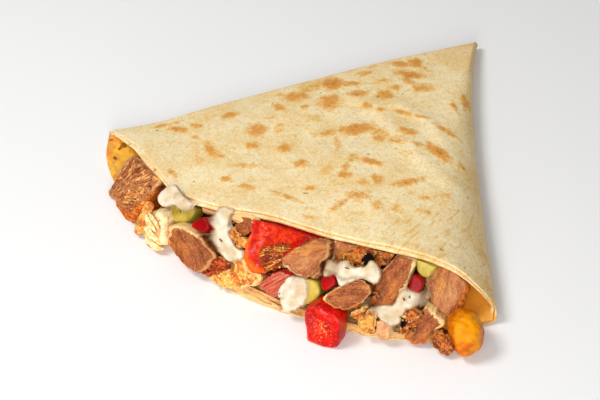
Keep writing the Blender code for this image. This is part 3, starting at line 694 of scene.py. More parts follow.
TOMATO = (
    Piece("tomato_left", 1, 0.398, 203, 23.5, 8, 40, (),
          ((-2.4, -3.3), (2.4, -2.7), (4.4, -0.8), (4.7, 3.6), (1.6, 4.9), (-2.2, 3.7), (-5.5, -3))),
    Piece("tomato_middle", 2, 0.675, 199, 23.9, 8, 45, (),
          ((-3.9, -1), (-1.8, -4.4), (-0.4, -4.3), (3.1, -0.5), (3.9, 2), (0, 4.8), (-4.2, 1.6))),
    Piece("tomato_right", 3, 0.832, 187.5, 24.1, 8, 40, (),
          ((-2.7, 1.1), (-3.3, -3.2), (0.5, -4), (2.9, -3.7), (3.8, 2.7), (-1.6, 5.1))),
)
DICE = Form(0.30, 0.38, 0.01, 0.0, 2)


def smooth_relief(local, seed):
    """Barely uneven: one soft wave."""
    return 0.12 * rough(local, 7, seed)


def tomato_finish():
    """Deep red flesh, a little lighter in clouds, under a wet coat."""
    made = Finish("tomato", {"Coat Weight": 0.08, "Coat Roughness": 0.06, "Specular IOR Level": 0.1})
    place = made.place()
    made.set("Base Color", made.laid((134, 0, 2), (made.noise(place, 170), 0.35, 0.65, 1, (176, 2, 4))))
    made.set("Roughness", made.noise(place, 500, 2) * 0.25 + 0.25)
    made.set("Normal", made.bump(made.noise(place, 420), 0.0003, 0.5))
    return made.material


def make_tomato():
    """The three dice."""
    finish = tomato_finish()
    for piece in TOMATO:
        loops, marks, _ = chunk(piece, DICE, smooth_relief)
        keep(piece.name, loops, marks, finish)


make_tomato()


# Diced pickled cucumber: pale watery flesh with a green rim where the skin was, cut as small as
# the tomato. The dice are wedged in at the left, in the middle and at the right.

# The looks are the turn of the fine lines and the side where the skin is, in degrees.
CUCUMBER = (
    Piece("cucumber_left", 4, 0.332, 199, 16.3, 9, 40, (80, -20),
          ((-6.7, -5.8), (-3.3, -7.9), (3.6, -3.4), (5.5, -1), (5.8, 3.6), (4.1, 6.4), (-1.3, 4.4),
           (-7, 1.2), (-12, -2.6))),
    Piece("cucumber_middle", 5, 0.636, 201, 14.1, 9, 35, (120, 10),
          ((-5.5, -1.7), (-3.4, -7.1), (-0, -6.1), (3.6, -3.5), (6.1, -0.1), (6.3, 3.8), (3.6, 6.6),
           (-0.5, 7.4), (-4.4, 5.5))),
    Piece("cucumber_right", 6, 0.843, 180.5, 27.8, 8, 35, (90, 150),
          ((-3.8, -1.1), (-0.1, -4.2), (3.5, -3.6), (6.2, 5.3), (5.2, 5.4), (-1.6, 6.1), (-4.4, 6.4))),
)


def cucumber_finish():
    """Yellow-green flesh, paler inside, with a darker green skin side and fine lines."""
    made = Finish("cucumber", {"Coat Weight": 0.15, "Coat Roughness": 0.1, "Specular IOR Level": 0.2})
    clouds = made.noise(made.place(), 150)
    lines = made.noise(made.stretched(made.mark("grain", True), (0.15, 1, 1)), 1.1, 2)
    skin = made.mark("skin") + (clouds - 0.5) * 0.4
    made.set("Base Color", made.laid((206, 178, 72),
                                     (clouds, 0.3, 0.7, 1, (178, 150, 44)),
                                     (lines, 0.5, 0.66, 0.5, (216, 194, 108)),
                                     (skin, 0.35, 0.9, 0.85, (132, 128, 22))))
    made.set("Roughness", clouds * 0.2 + 0.28)
    made.set("Normal", made.bump(lines, 0.0003, 0.5))
    return made.material


def make_cucumber():
    """The three dice, each with its skin towards one side."""
    finish = cucumber_finish()
    for piece in CUCUMBER:
        loops, marks, turn = chunk(piece, DICE, smooth_relief)
        marks["grain"] = grained(marks["local"], piece.looks[0])
        marks["skin"] = marks["rim"] ** 4 * np.clip(towards(turn, piece.looks[1]), 0, 1)
        keep(piece.name, loops, marks, finish)


make_cucumber()


# Red bell pepper: firm wall of the fruit, with glossy skin outside and duller flesh inside. A square
# of it hangs out at the front, and a strip curls round the grilled piece.

# The look is the side where the wall was cut, in degrees.
PEPPER = (
    Piece("pepper_cube", 7, 0.685, 209.5, 8.6, 12, 15, (250,),
          ((-9.4, 0.1), (-7.3, -5.7), (-7.1, -11.1), (-3.4, -11.5), (3.3, -11.4), (8.4, -9.3),
           (8.9, -4.3), (8.7, 1.7), (7.9, 9.1), (0.7, 9.5), (-2.9, 11.9), (-6.7, 8.9), (-9.6, 6.1))),
    Piece("pepper_strip", 21, 0.539, 192, 27.6, 12, 35, (235,),
          ((-11.6, 1.5), (-13.1, -5.1), (-12.1, -11), (-9.6, -16), (-5.5, -18.1), (-1.5, -17.5),
           (0.7, -16.1), (5.9, -11.4), (7.9, -5.6), (11.4, 1.9), (14.7, 5.4), (19.5, 15.4), (20.4, 15.6),
           (5.3, 12.5), (-3.3, 11.4), (-11.4, 10), (-14.3, 9))),
)
CHUNK = Form(0.30, 0.42, 0.04, 0.30, 1)


def pepper_finish():
    """Bright red, orange towards the cut rim, with a duller mottled inner face and painted highlight specks,
    most in the middle of the square's face.
    """
    made = Finish("pepper", {"Coat Roughness": 0.05, "Specular IOR Level": 0.15})
    place, inner = made.place(), made.mark("inner")
    clouds, speckle = made.noise(place, 150), made.noise(place, 520, 3, 0.6)
    wrinkles = made.noise(made.stretched(place, (1, 1, 0.5)), 260, 4, 0.65)
    # painted highlight: pale orange specks, gathered in the middle of the square's face
    glints = made.noise(made.stretched(place, (1.6, 1.6, 1)), 680, 4, 0.75) + made.mark("shine") * 0.16
    skin = made.laid((214, 9, 1), (clouds, 0.36, 0.64, 1, (176, 6, 0)),
                     (speckle, 0.52, 0.66, 0.6, (244, 72, 18)))
    flesh = made.laid((200, 34, 2), (speckle, 0.38, 0.64, 1, (234, 78, 10)))
    colour = made.laid(made.mix(inner, skin, flesh),
                       (made.mark("cut") + (clouds - 0.5) * 0.5, 0.30, 0.70, 0.85, (255, 124, 18)),
                       (glints, 0.63, 0.70, 0.7, (255, 170, 96)))
    made.set("Base Color", made.deeper(colour, 1.2))
    made.set("Roughness", inner * 0.25 + clouds * 0.15 + 0.25)
    made.set("Coat Weight", made.step(wrinkles, 0.46, 0.62) * 0.5)
    made.set("Normal", made.bump(wrinkles + speckle * 0.2, 0.0010, 0.8))
    return made.material


def make_pepper():
    """The square that hangs at the front, and the strip that curls round the grilled piece."""
    finish = pepper_finish()
    for piece in PEPPER:
        curl = piece.name == "pepper_strip"
        form, dish = (CHUNK, 6.0) if curl else (DICE, 0.0)
        loops, marks, turn = chunk(piece, form, smooth_relief, dish=dish)
        facing = np.clip(marks["rim"], 0, 1)
        marks["inner"] = np.clip(5 * (0.84 - facing), 0, 1) * curl
        # painted highlight specks gather in the middle of the square's face
        marks["shine"] = np.exp(-4 * facing ** 2) * (1 - curl)
        marks["cut"] = facing ** 4 * np.clip(towards(turn, piece.looks[0]), 0, 1)
        keep(piece.name, loops, marks, finish)


make_pepper()


# Red onion: a raw wedge of pink layers with dark red skins between them, stuck between the pepper
# and the sauce.

# The looks are the turn of its layers and the side of its outer skin, in degrees.
ONION = (
    Piece("onion_middle", 8, 0.58, 204, 15.1, 9, 35, (50, 110),
          ((-7.2, -5.7), (-2.9, -6.2), (0.8, -6.5), (2.6, -4.1), (3.2, 0.1), (6.5, 4), (8.4, 7.2),
           (4.6, 8), (0.5, 8.1), (-2.9, 5.9), (-7.5, -0.2), (-9, -5))),
)


def onion_finish():
    """Pink flesh, finely lined along its layers, with a dark red outline."""
    made = Finish("onion", {"Coat Weight": 0.15, "Coat Roughness": 0.1, "Specular IOR Level": 0.2})
    streaks = made.noise(made.stretched(made.mark("grain", True), (0.06, 1, 1)), 2.4, 3, 0.6)
    around = streaks - 0.5
    made.set("Base Color", made.laid((160, 44, 24),
                                     (streaks, 0.36, 0.62, 1, (210, 112, 80)),
                                     (streaks, 0.60, 0.70, 0.5, (246, 196, 164)),
                                     (made.mark("layer") + around * 1.2, 0.90, 1.05, 0.6, (170, 24, 22)),
                                     (made.mark("skin") + around * 0.5, 0.22, 0.45, 1, (156, 6, 6))))
    made.set("Roughness", streaks * 0.2 + 0.25)
    made.set("Normal", made.bump(streaks, 0.0003, 0.7))
    return made.material


def make_onion():
    """The one wedge."""
    for piece in ONION:
        loops, marks, turn = chunk(piece, CHUNK, smooth_relief)
        marks["grain"] = grained(marks["local"], piece.looks[0])
        along, side, _ = np.moveaxis(marks["grain"], -1, 0)
        marks["layer"] = 0.5 + 0.5 * np.sin(side * 2.0 + 0.5 * np.sin(along * 0.3))
        marks["skin"] = marks["rim"] ** 9 * np.clip(towards(turn, piece.looks[1]) + 0.45, 0, 1)
        keep(piece.name, loops, marks, onion_finish())


make_onion()


# Chicken: roast breast and thigh, sliced and torn, so its fibres show on the cut faces, with paler
# fatty edges at some sides, partly painted highlight, and a seared skin at others.

# The looks are the fibres' turn, how far back they spread from, tone, pale fatty side (partly painted
# highlight) and how much, seared side and how much, and how hollow the face is. Turns and sides are in
# degrees.
CHICKEN = (
    Piece("chicken_oval", 9, 0.714, 200, 21.3, 11, 42, (20, 500, 0.5, 150, 0.8, 290, 0.5, 2.2),
          ((-7.8, -7.2), (-2.6, -8), (2.6, -6.5), (5.5, -3.7), (8.3, -0.5), (10.2, 2.8), (9.9, 5.9),
           (6.9, 8.4), (3.1, 9), (-0.3, 6.3), (-5.2, 2.1), (-10.4, -2.8), (-11.6, -5.8))),
    Piece("chicken_long", 10, 0.392, 207, 11.4, 13, 30, (-30, 500, 0.58, 150, 0.9, 235, 0.8, 0.5),
          ((-15.2, -3.4), (-12.4, -5.4), (-7.8, -8.1), (0.1, -9.4), (6.6, -9.1), (9.8, -9), (12.4, -4.6),
           (13.7, -0.5), (15.5, 3.9), (12.7, 5.9), (7.3, 6.3), (2.5, 8.1), (-5.1, 7.5), (-10.9, 5.8),
           (-15, 3.1), (-15.7, -0.4))),
    Piece("chicken_slab", 11, 0.783, 187.5, 22.2, 12, 42, (62, 500, 0.58, 15, 0.9, 215, 0.9, 0.3),
          ((-4.8, 4.2), (-6.4, -0.4), (-7, -6.8), (-8.3, -12.5), (-4.4, -12.1), (-0.6, -11.7),
           (3.6, -10.8), (4.7, -7), (5.4, -3), (7.6, -0.1), (8.6, 4.4), (9.1, 15.4), (7.9, 15.5),
           (4.5, 15.8), (0.9, 16.1), (-1.6, 9.5))),
    Piece("chicken_left", 12, 0.196, 205, 6.2, 14, 48, (62, 16, 0.4, 200, 0.3, -40, 1.6, 0),
          ((-16.4, 6), (-14.6, -0.8), (-11.8, -10.7), (-10.3, -12.9), (-6.5, -10.9), (1.2, -12.6),
           (10, -12.2), (14.6, -9.6), (12.7, -6.1), (14.1, -1.8), (13.4, 2.7), (10.5, 7.2), (10.8, 16.4),
           (-1.7, 15.6), (-14, 15.1))),
    Piece("chicken_wedge", 13, 0.857, 197, 9.1, 10, 30, (60, 40, 0.52, 40, 1, 250, 0.8, 0.3),
          ((-1.5, 5.5), (-3, 2.7), (-3.9, -0.9), (-6, -3.8), (-7.8, -7.6), (-5.3, -9.5), (-1.8, -10.7),
           (1.7, -8.6), (4.6, -4.6), (8, -1), (10.2, 2.9), (6.2, 5.7), (2.9, 8.2), (-0.2, 10.8))),
    Piece("chicken_round", 14, 0.79, 203, 7.7, 9, 15, (90, 500, -0.1, 0, 0.6, 270, 0.5, 0),
          ((-4, -0.7), (-2, -5), (1.8, -5.2), (3.4, -1.6), (3, 2.4), (1.1, 6), (-4.1, 5.1))),
    Piece("chicken_middle", 15, 0.612, 191, 24.6, 13, 45, (222, 16, 0.34, 205, 0.9, 90, 0, 0),
          ((-11.3, -6.6), (-6.4, -8.7), (-1.2, -9.3), (1.9, -8.3), (8, -6.8), (9.1, -3.3), (8.2, 1),
           (10.2, 4.6), (7.1, 16.1), (4.9, 15.7), (-1.8, 7.9), (-7.3, 3.9), (-8.8, 0), (-11.9, -4.3))),
    Piece("chicken_right", 16, 0.892, 181.5, 15.2, 14, 45, (262, 26, 0.26, 100, 0.2, -10, 1.2, 0),
          ((-8.8, -1.1), (-6.2, -6.4), (-1.5, -10.7), (2.4, -12.2), (5, -9.9), (8.1, -8.5), (8.6, 1),
           (11.6, 8), (6.9, 10.5), (-0.1, 13.1), (-5, 14.2), (-8.3, 7.9), (-10.4, 4.9))),
    Piece("chicken_pale", 17, 0.31, 209.5, 8.2, 11, 25, (75, 500, -0.05, 30, 1.5, 265, 1, 0),
          ((-6.2, 0), (-3, -4.6), (-3.2, -9.9), (-4.1, -12.8), (1.2, -10.2), (5.9, -4.6), (8.9, 0.2),
           (4.1, 1.6), (3.3, 4.5), (3.2, 8.4), (-1.8, 10.9), (-4.8, 8.5), (-7.6, 5.4))),
    Piece("chicken_upper", 18, 0.665, 179.5, 26, 12, 35, (60, 500, 0.4, 190, 1.4, 0, 0, 0),
          ((-5.8, -2.1), (-4.1, -6.7), (-1.9, -8.6), (1.5, -7), (3.1, -4.8), (2.3, -2.7), (5.1, -0.8),
           (10.5, 7.7), (10, 7.7), (3.3, 7.1), (-2.7, 6.6), (-7.8, 6.2))),
    Piece("chicken_grey", 19, 0.468, 191, 25.2, 9, 35, (30, 500, 0.6, 90, 0.2, 0, 0, 0),
          ((-5.3, -2), (-4, -3.3), (-0.2, -5.3), (2.3, -4.5), (3.9, 1.6), (1.1, 9.3), (-4, 7.2),
           (-5.1, -0.9))),
    Piece("chicken_nub", 20, 0.418, 192, 26, 8, 35, (0, 500, 0.1, 0, 0, 0, 0, 0),
          ((-10.7, -6.7), (-5.3, 2.5), (1.8, -4), (3.5, 5.6), (3.4, 5.6), (-1.8, 3.8), (-9, 1.1),
           (-17.4, -0))),
)


def chicken_relief(local, seed, turn, fan):
    """Soft swells, strands along the fibres, and the torn edge's small steps."""
    strands = rough(grained(local, turn, fan) * (0.14, 1, 0.6), 2.8, seed + 11, 16)
    return 0.30 * rough(local, 9, seed) + 0.12 * strands + 0.10 * rough(local, 1.9, seed + 90, 20)


def chicken_finish():
    """Tan to brown meat, clouded and finely fibred: a pale band along each cut that is partly painted
    highlight, dark sides that are partly painted shade, pale fatty edges that are partly painted highlight,
    and seared sides.
    """
    made = Finish("chicken", {"Coat Roughness": 0.15, "Specular IOR Level": 0.18})
    grain, tone, coarse = made.mark("grain", True), made.mark("tone"), made.mark("coarse")

    def fibrous(long, *settings):
        """Noise drawn out along the fibres."""
        return made.noise(made.stretched(grain, (long, 1, 1)), *settings)

    clouds, fibres, fine = fibrous(0.5, 0.24, 4, 0.65), fibrous(0.16, 1.7, 4, 0.7, 0.4), fibrous(0.35, 3.2, 2)
    blush, seams = fibrous(0.4, 0.11, 2), fibrous(0.10, 0.26, 2, 0.4) - 0.5
    pits, shreds = made.noise(grain, 0.75, 3, 0.6), fibrous(0.3, 0.9, 3, 0.65, 0.8)
    by_tone = partial(made.mix, tone)
    colour = made.laid(by_tone((218, 162, 112), (150, 60, 12)),
                       (blush, 0.46, 0.60, 0.55, by_tone((196, 120, 84), (128, 58, 30))),
                       (blush, 0.48, 0.36, 0.55, by_tone((246, 182, 92), (196, 112, 36))),
                       (clouds, 0.44, 0.60, 0.65, by_tone((190, 106, 40), (96, 34, 4))),
                       (clouds, 0.42, 0.30, 0.55, by_tone((252, 208, 146), (208, 126, 62))),
                       (fibres, 0.55, 0.66, 0.40, by_tone((252, 214, 152), (220, 142, 76))),
                       (fibres, 0.44, 0.34, 0.38, by_tone((150, 70, 22), (66, 20, 4))),
                       (fine, 0.56, 0.68, 0.40, (255, 216, 160)),
                       (seams * seams, 0.0004, 0.0001, 0.25, by_tone((134, 62, 22), (66, 22, 4))),
                       (pits, 0.57, 0.63, coarse * 0.85, (96, 30, 8)),
                       (shreds, 0.54, 0.59, coarse * 0.8, (250, 200, 136)))
    rim, ragged = made.mark("rim") + (clouds - 0.5) * 0.16, (clouds - 0.5) + (fine - 0.5) * 0.5
    seared = made.laid((170, 74, 10), (fibres, 0.38, 0.62, 1, (246, 158, 46)))
    colour = made.laid(colour,
                       # a pale band inside the outline: partly the paler cut edge, partly painted highlight.
                       # Past it the sides turn dark brown: partly the meat's browner outside, partly painted
                       # shade.
                       (rim, 0.86, 0.93, made.step(rim, 1.00, 0.96) * 0.50, (255, 218, 158)),
                       (rim, 0.97, 1.01, 0.60, (104, 38, 8)),
                       # pale fatty edge, partly painted highlight
                       (made.mark("fat") + ragged, 0.34, 0.58, 0.92, (255, 228, 176)),
                       (made.mark("sear") + ragged, 0.30, 0.62, 0.9, seared))
    made.set("Base Color", made.deeper(colour, made.step(tone, 0.05, 0.5) * 0.42 + 1.0))
    wet = made.step(fibres + clouds * 0.6, 0.84, 0.96)
    made.set("Roughness", 0.50 - wet * 0.2 + fine * 0.1)
    made.set("Coat Weight", wet * 0.35)
    made.set("Normal", made.bump(fibres * 0.6 + fine * 0.4, 0.0006, 0.8))
    return made.material


def make_chicken():
    """Every slice, with its own fibre direction, tone, pale fatty side that is partly painted highlight, and
    seared side.
    """
    finish = chicken_finish()
    for piece in CHICKEN:
        fibre, fan, tone, fat_turn, fat, sear_turn, sear, hollow = piece.looks
        strands = partial(chicken_relief, turn=fibre, fan=fan)
        loops, marks, turn = chunk(piece, CHUNK, strands, 60, 128, hollow)
        rim = marks["rim"]
        marks["grain"] = grained(marks["local"], fibre, fan)
        marks["tone"], marks["coarse"] = tone + 0 * rim, float(piece.name == "chicken_left") + 0 * rim
        # the pale fatty edge, partly painted highlight, on one side of the outline
        marks["fat"] = fat * rim ** (1.2 if fat > 1.3 else 4) * np.clip(0.25 + towards(turn, fat_turn), 0, 1)
        marks["sear"] = sear * rim ** 4 * np.clip(0.1 + towards(turn, sear_turn), 0, 1)
        keep(piece.name, loops, marks, finish)


make_chicken()


# Crisps: thin seared edges and skin that came off the meat, golden to dark brown, jagged and rough.
# They lie loose on the meat, and a crumb of minced meat lies at the right.

# The looks are tone, red, how rough, the fibres' turn, and the place and width of a dark hole, painted shade.
CRISPS = (
    Piece("crisp_low", 22, 0.831, 200, 13.7, 6, 30, (0.6, 0, 0.7, 60, -3.5, -1, 2.6),
          ((-3.3, 3.3), (-4.4, 1.1), (-3.2, -1.1), (-3.7, -4), (-2.6, -7.3), (-0.7, -7.4), (0.6, -3.4),
           (2.8, -2.2), (2.5, -0), (5, 0.7), (4.1, 2.3), (6, 3.5), (3.6, 5.7), (1.2, 7.8), (-0.6, 5.8),
           (-2.5, 6.1))),
    Piece("crisp_middle", 23, 0.705, 183.5, 28, 6, 40, (0.42, 0, 0.7, 0, 5.5, 0.5, 3.4),
          ((-6.4, -2.7), (-4.2, -3), (-3.4, -5.1), (-1.1, -6.7), (0.1, -4.5), (2.6, -5.1), (4.2, -2.3),
           (7, -2.4), (7.9, 1.5), (7.4, 9.5), (3.8, 9.2), (1.4, 9.1), (-0.9, 9), (-3.3, 1.6), (-6.4, -0.9))),
    Piece("crisp_left", 24, 0.462, 199, 21.8, 6, 40, (0.34, 0, 0.7, 0, 1.5, -2.6, 2.6),
          ((-5.1, -2.1), (-2.9, -2.5), (-0.3, -4.6), (0.7, -3.1), (3.8, -3.4), (5.3, -0.6), (8, -0.1),
           (5.9, 3.8), (3.2, 3.4), (-0.3, 5.1), (-2.8, 6), (-4.3, 4.2), (-4.7, 1.7), (-6.6, -0.4))),
    Piece("crisp_inner", 25, 0.555, 196, 23.1, 9, 40, (0.88, 0, 0.8, 215, 0, 0, 0),
          ((-5.9, -6), (-2.2, -9.2), (0.2, -7.3), (2.7, -5.9), (5.6, -2.7), (3.6, 2.2), (5.6, 5),
           (7.6, 8.3), (4.4, 7.8), (-0.1, 6.3), (-3.2, 3.5), (-6, 1.3), (-8.6, -1.9))),
    Piece("crisp_upper", 26, 0.753, 180.5, 26.6, 8, 35, (0.6, 0, 0.7, 0, 1.5, -2, 1.4),
          ((-3.1, -2.5), (-2.3, -6.9), (0.1, -7.8), (1.7, -4.2), (3.8, -1), (5.8, 8.3), (7.6, 8.1),
           (0.9, 8.2), (-4.4, 8.1))),
    Piece("crisp_red", 27, 0.451, 207, 9.2, 8, 25, (0.7, 0.65, 1, 0, 0, 0, 0),
          ((-6.5, -3.8), (-6.7, -7.8), (-2.2, -6.5), (2.8, -1.6), (5.5, 1.3), (9.4, 3.8), (9, 6.8),
           (5.2, 5.7), (-0.1, 5.3), (-4.9, 3.4), (-8.6, -0.2))),
    Piece("crisp_yellow", 28, 0.487, 205, 8.6, 10, 35, (0.1, 0, 0.45, 20, 0, 0, 0),
          ((-11.1, -8.6), (-3.7, -9.5), (3.5, -6.2), (13.5, 0.7), (15.4, 5.5), (13.7, 6.8), (8.9, 5),
           (4.2, 6.6), (1.7, 10.4), (-1.9, 10.2), (-6.5, 5), (-12.3, -3.1))),
    Piece("crisp_strand", 29, 0.287, 212.5, 8.6, 6, 25, (0.1, 0, 0.4, 0, 0, 0, 0),
          ((-4.8, -5.3), (-3.2, -7.1), (2.8, -6.2), (7.2, -5.3), (6.5, -0.6), (2, 2), (-4.3, 0.9),
           (-5.7, -1.9))),
    Piece("crisp_strips", 30, 0.755, 202.5, 10.9, 8, 30, (0.22, 0, 0.8, 0, 0, 0, 0),
          ((-4.8, -1), (-3, -4.5), (-0.1, -6.8), (4.9, -7), (4.9, -3.1), (4.9, 0.4), (4.5, 3.6),
           (-0.6, 5.5), (-1.8, 2.6), (-4.4, 3.7), (-7.7, 0.4))),
    Piece("crisp_sliver", 31, 0.744, 204.5, 18.5, 4, 30, (0.1, 0, 0.6, 0, 0, 0, 0),
          ((-2, -3), (1.6, 0.8), (3.2, 2.5), (1.3, 2.4), (-1.6, 0.1), (-4.4, -3.1))),
    Piece("crumb_right", 32, 0.899, 203, 5.6, 9, 30, (0.76, 0, 1, 0, 0, 0, 0),
          ((-6.4, -0.7), (-2.3, -3.9), (2, -5.3), (5.2, -2.7), (4.8, 1.7), (0.7, 3.7), (-3.8, 4.7),
           (-5.4, 3.4))),
)
CRISP = Form(0.30, 0.44, 0.05, 0.50, 0)


# Half the width of a grain of minced meat.
GRAIN = 1.5


def crisp_relief(local, seed):
    """Sharp folds and torn teeth: creased waves of three sizes."""
    folds = 1 - 2 * np.abs(rough(local, 8, seed))
    return 0.26 * folds + 0.10 * rough(local, 3.0, seed + 30) + 0.05 * rough(local, 1.4, seed + 60, 20)


def minced_relief(local, seed):
    """Rounded grains packed side by side: a dome over each of many seeded middles."""
    draw = np.random.default_rng(seed)
    places = local.reshape(-1, 3)
    span = places.max(0) - places.min(0)
    middles = places[draw.integers(0, len(places), int(span.prod() / 7) + 40)]
    far = np.min([np.linalg.norm(local - middle, axis=-1) for middle in middles], 0)
    domes = 0.9 * np.sqrt(np.clip(1 - (far / GRAIN) ** 2, 0, 1)) - 0.45
    return domes + 0.12 * rough(local, 1.4, seed + 60, 20)


def crisp_finish():
    """Golden crust with a bright torn edge, brown mottles, painted shade in its hollows, painted highlight on
    its ridges, a near-black hole of painted shade and, if grilled, pale threads.
    """
    made = Finish("crust", {"Coat Roughness": 0.15, "Specular IOR Level": 0.18})
    place, tone, raised = made.place(), made.mark("tone"), made.mark("raised")
    clouds, grit = made.noise(place, 190, 4, 0.65), made.noise(place, 640, 3, 0.65)
    threads = made.noise(made.stretched(made.mark("grain", True), (0.09, 1, 1)), 1.5, 3, 0.6, 0.5)
    cracks = made.noise(place, 120, 3, 0.6) - 0.5
    rim, sunk = made.mark("rim") + (clouds - 0.5) * 0.24, raised + (clouds - 0.5) * 0.8
    grilled = made.step(tone, 0.8, 0.88)
    by_tone = partial(made.mix, tone)
    colour = made.laid(by_tone((246, 184, 86), (164, 68, 8)),
                       (clouds, 0.46, 0.57, 0.85, by_tone((212, 98, 14), (90, 30, 2))),
                       (grit, 0.53, 0.64, 0.6, by_tone((255, 234, 180), (232, 150, 56))),
                       (grit, 0.45, 0.35, 0.6, by_tone((190, 100, 26), (52, 14, 2))),
                       # painted shade where the relief sinks, and painted highlight where it rises
                       (sunk, -0.20, -0.42, 0.8, by_tone((160, 74, 14), (36, 10, 2))),
                       (raised, 0.22, 0.5, 0.5, by_tone((255, 228, 164), (226, 140, 50))))
    red = made.laid((120, 14, 2), (grit, 0.4, 0.62, 1, (222, 72, 18)))
    colour = made.mix(grilled * 0.6, made.mix(made.mark("red") * 0.85, colour, red), (168, 66, 6))
    # painted shade: a hole in the crisp, painted near black
    hole = made.step(made.mark("hole") + (clouds - 0.5) * 1.8, 0.42, 0.56)
    colour = made.laid(colour,
                       (threads, 0.53, 0.60, grilled * 0.9, (244, 190, 96)),
                       (cracks * cracks, 0.0009, 0.0001, 0.5, by_tone((150, 70, 10), (48, 14, 2))),
                       (rim, 0.84, 0.93, made.step(rim, 1.03, 0.99) * (1 - tone) * 0.9, (255, 224, 146)),
                       (rim, 0.99, 1.03, 0.75, (120, 50, 8)))
    colour = made.mix(hole, colour, (36, 14, 4))
    made.set("Base Color", made.deeper(colour, made.step(tone, 0.12, 0.5) * 0.45 + 1.0))
    made.set("Roughness", hole * 0.4 - clouds * 0.3 + 0.60)
    made.set("Coat Weight", made.step(grit, 0.52, 0.62) * (1 - hole) * 0.35)
    made.set("Normal", made.bump(grit + clouds, 0.0008, 0.8))
    return made.material


crust = crisp_finish()


def make_crisps():
    """The scraps of crust and the crumb at the right."""
    for piece in CRISPS:
        tone, red, height, fibre, hole_x, hole_y, hole_wide = piece.looks
        uneven = minced_relief if piece.name in ("crumb_right", "crisp_red") else crisp_relief
        loops, marks, _ = chunk(piece, CRISP, lambda local, seed: height * uneven(local, seed), 64, 132)
        x, y, z = np.moveaxis(marks["local"], -1, 0)
        marks["grain"] = grained(marks["local"], fibre, 16.0)
        far = np.hypot(x - hole_x, y - hole_y)
        marks["hole"] = np.exp(-(far / max(hole_wide, 0.01)) ** 2) * (z > 0)
        marks["tone"], marks["red"] = tone + 0 * far, red + 0 * far
        keep(piece.name, loops, marks, crust)


make_crisps()


# Skin and shreds: a limp tongue of orange skin hangs out at the left, thin strips of crust curl
# beside it, and torn plies of the crepe show along the floor and under the lip.

def fold_relief(local, seed):
    """Gentle folds of a limp strip, and small wrinkles."""
    return 0.16 * rough(local, 5, seed) + 0.04 * rough(local, 1.6, seed + 1)


def poured(stream, rows=70, columns=48):
    """Loops of something bent or poured: a flat oval along its route, closed at both ends."""
    route = np.array(stream.route, float)
    knots = np.linspace(0, 1, len(route))
    along = (1 - np.cos(math.pi * np.arange(rows + 1) / rows)) / 2
    *place, wide = [smooth_curve(np.stack([knots, column], 1), along) for column in route.T]
    centre = at(*place)
    run = np.gradient(centre, axis=0)
    run /= np.linalg.norm(run, axis=1)[:, None]
    angle = fan_angle(place[0])
    face = np.stack([np.sin(angle) * 0.75, -np.cos(angle) * 0.75, 0 * angle + 0.66], -1)
    side = np.cross(run, face)
    side /= np.linalg.norm(side, axis=1)[:, None]
    face = np.cross(side, run)
    taper = np.sqrt(np.clip(1 - (2 * along - 1) ** 6, 0, 1))[:, None, None]
    turn = np.linspace(0, 2 * math.pi, columns, endpoint=False)[None, :, None]
    oval = (np.cos(turn) * side[:, None] * (wide[:, None, None] / 2)
            + np.sin(turn) * face[:, None] * stream.thick / 2)
    loops = centre[:, None] + oval * taper
    raised = fold_relief(loops, stream.seed)
    loops = above_table(loops + outward(loops) * (raised * taper[..., 0])[..., None])
    return loops, {"raised": raised, "rim": 0 * raised, "local": loops - centre.mean(0)}


Stream = namedtuple("Stream", "seed thick route")
TONGUE = Stream(33, 3.6, ((0.263, 208, 16, 7), (0.266, 214, 8.5, 6.4), (0.273, 219.5, 2.6, 5.6)))
SHREDS = (
    Stream(61, 0.9,
           ((0.274, 213.6, 13.5, 1.6), (0.286, 215.0, 13.0, 2.8), (0.301, 215.6, 12.6, 2.6),
            (0.314, 215.2, 10.8, 1.2))),
    Stream(62, 0.8,
           ((0.280, 213.0, 15.6, 1.2), (0.296, 214.2, 16.8, 2.2), (0.311, 214.4, 15.2, 1.8),
            (0.320, 214.4, 13.0, 1.0))),
    Stream(63, 0.9,
           ((0.284, 216.4, 9.6, 1.8), (0.300, 217.2, 9.4, 3.2), (0.318, 216.9, 8.2, 2.8),
            (0.332, 216.6, 6.8, 1.2))),
    Stream(64, 0.9,
           ((0.292, 218.0, 6.6, 1.4), (0.306, 218.7, 5.4, 3.0), (0.324, 217.9, 4.4, 2.8),
            (0.340, 216.2, 5.0, 1.2))),
)
PLIES = (
    Stream(66, 0.7,
           ((0.405, 208.5, 2.6, 2.0), (0.45, 209.5, 3.0, 3.4), (0.51, 209.0, 2.8, 3.8),
            (0.57, 208.0, 2.6, 2.6), (0.60, 206.5, 2.4, 1.2))),
    Stream(67, 0.6,
           ((0.43, 206.8, 4.0, 1.6), (0.49, 207.5, 4.4, 3.0), (0.55, 206.5, 4.2, 2.8),
            (0.585, 205.0, 3.8, 1.0))),
    Stream(68, 0.7,
           ((0.66, 204.5, 2.8, 1.6), (0.72, 204.5, 3.4, 3.6), (0.79, 203.0, 3.2, 3.2),
            (0.85, 200.0, 3.0, 1.4))),
    Stream(69, 0.7,
           ((0.425, 193.6, 27.4, 1.6), (0.45, 192.8, 29.6, 4.6), (0.475, 190.9, 31.2, 4.2),
            (0.492, 189.0, 32.0, 1.6))),
)


def plain_finish(name, dark, light, rough_value):
    """One colour over another in fine clouds, matt."""
    made = Finish(name, {"Specular IOR Level": 0.2})
    clouds = made.noise(made.place(), 700)
    made.set("Base Color", made.laid(dark, (clouds, 0.4, 0.6, 1, light)))
    made.set("Roughness", clouds * 0.2 + rough_value)
    return made.material


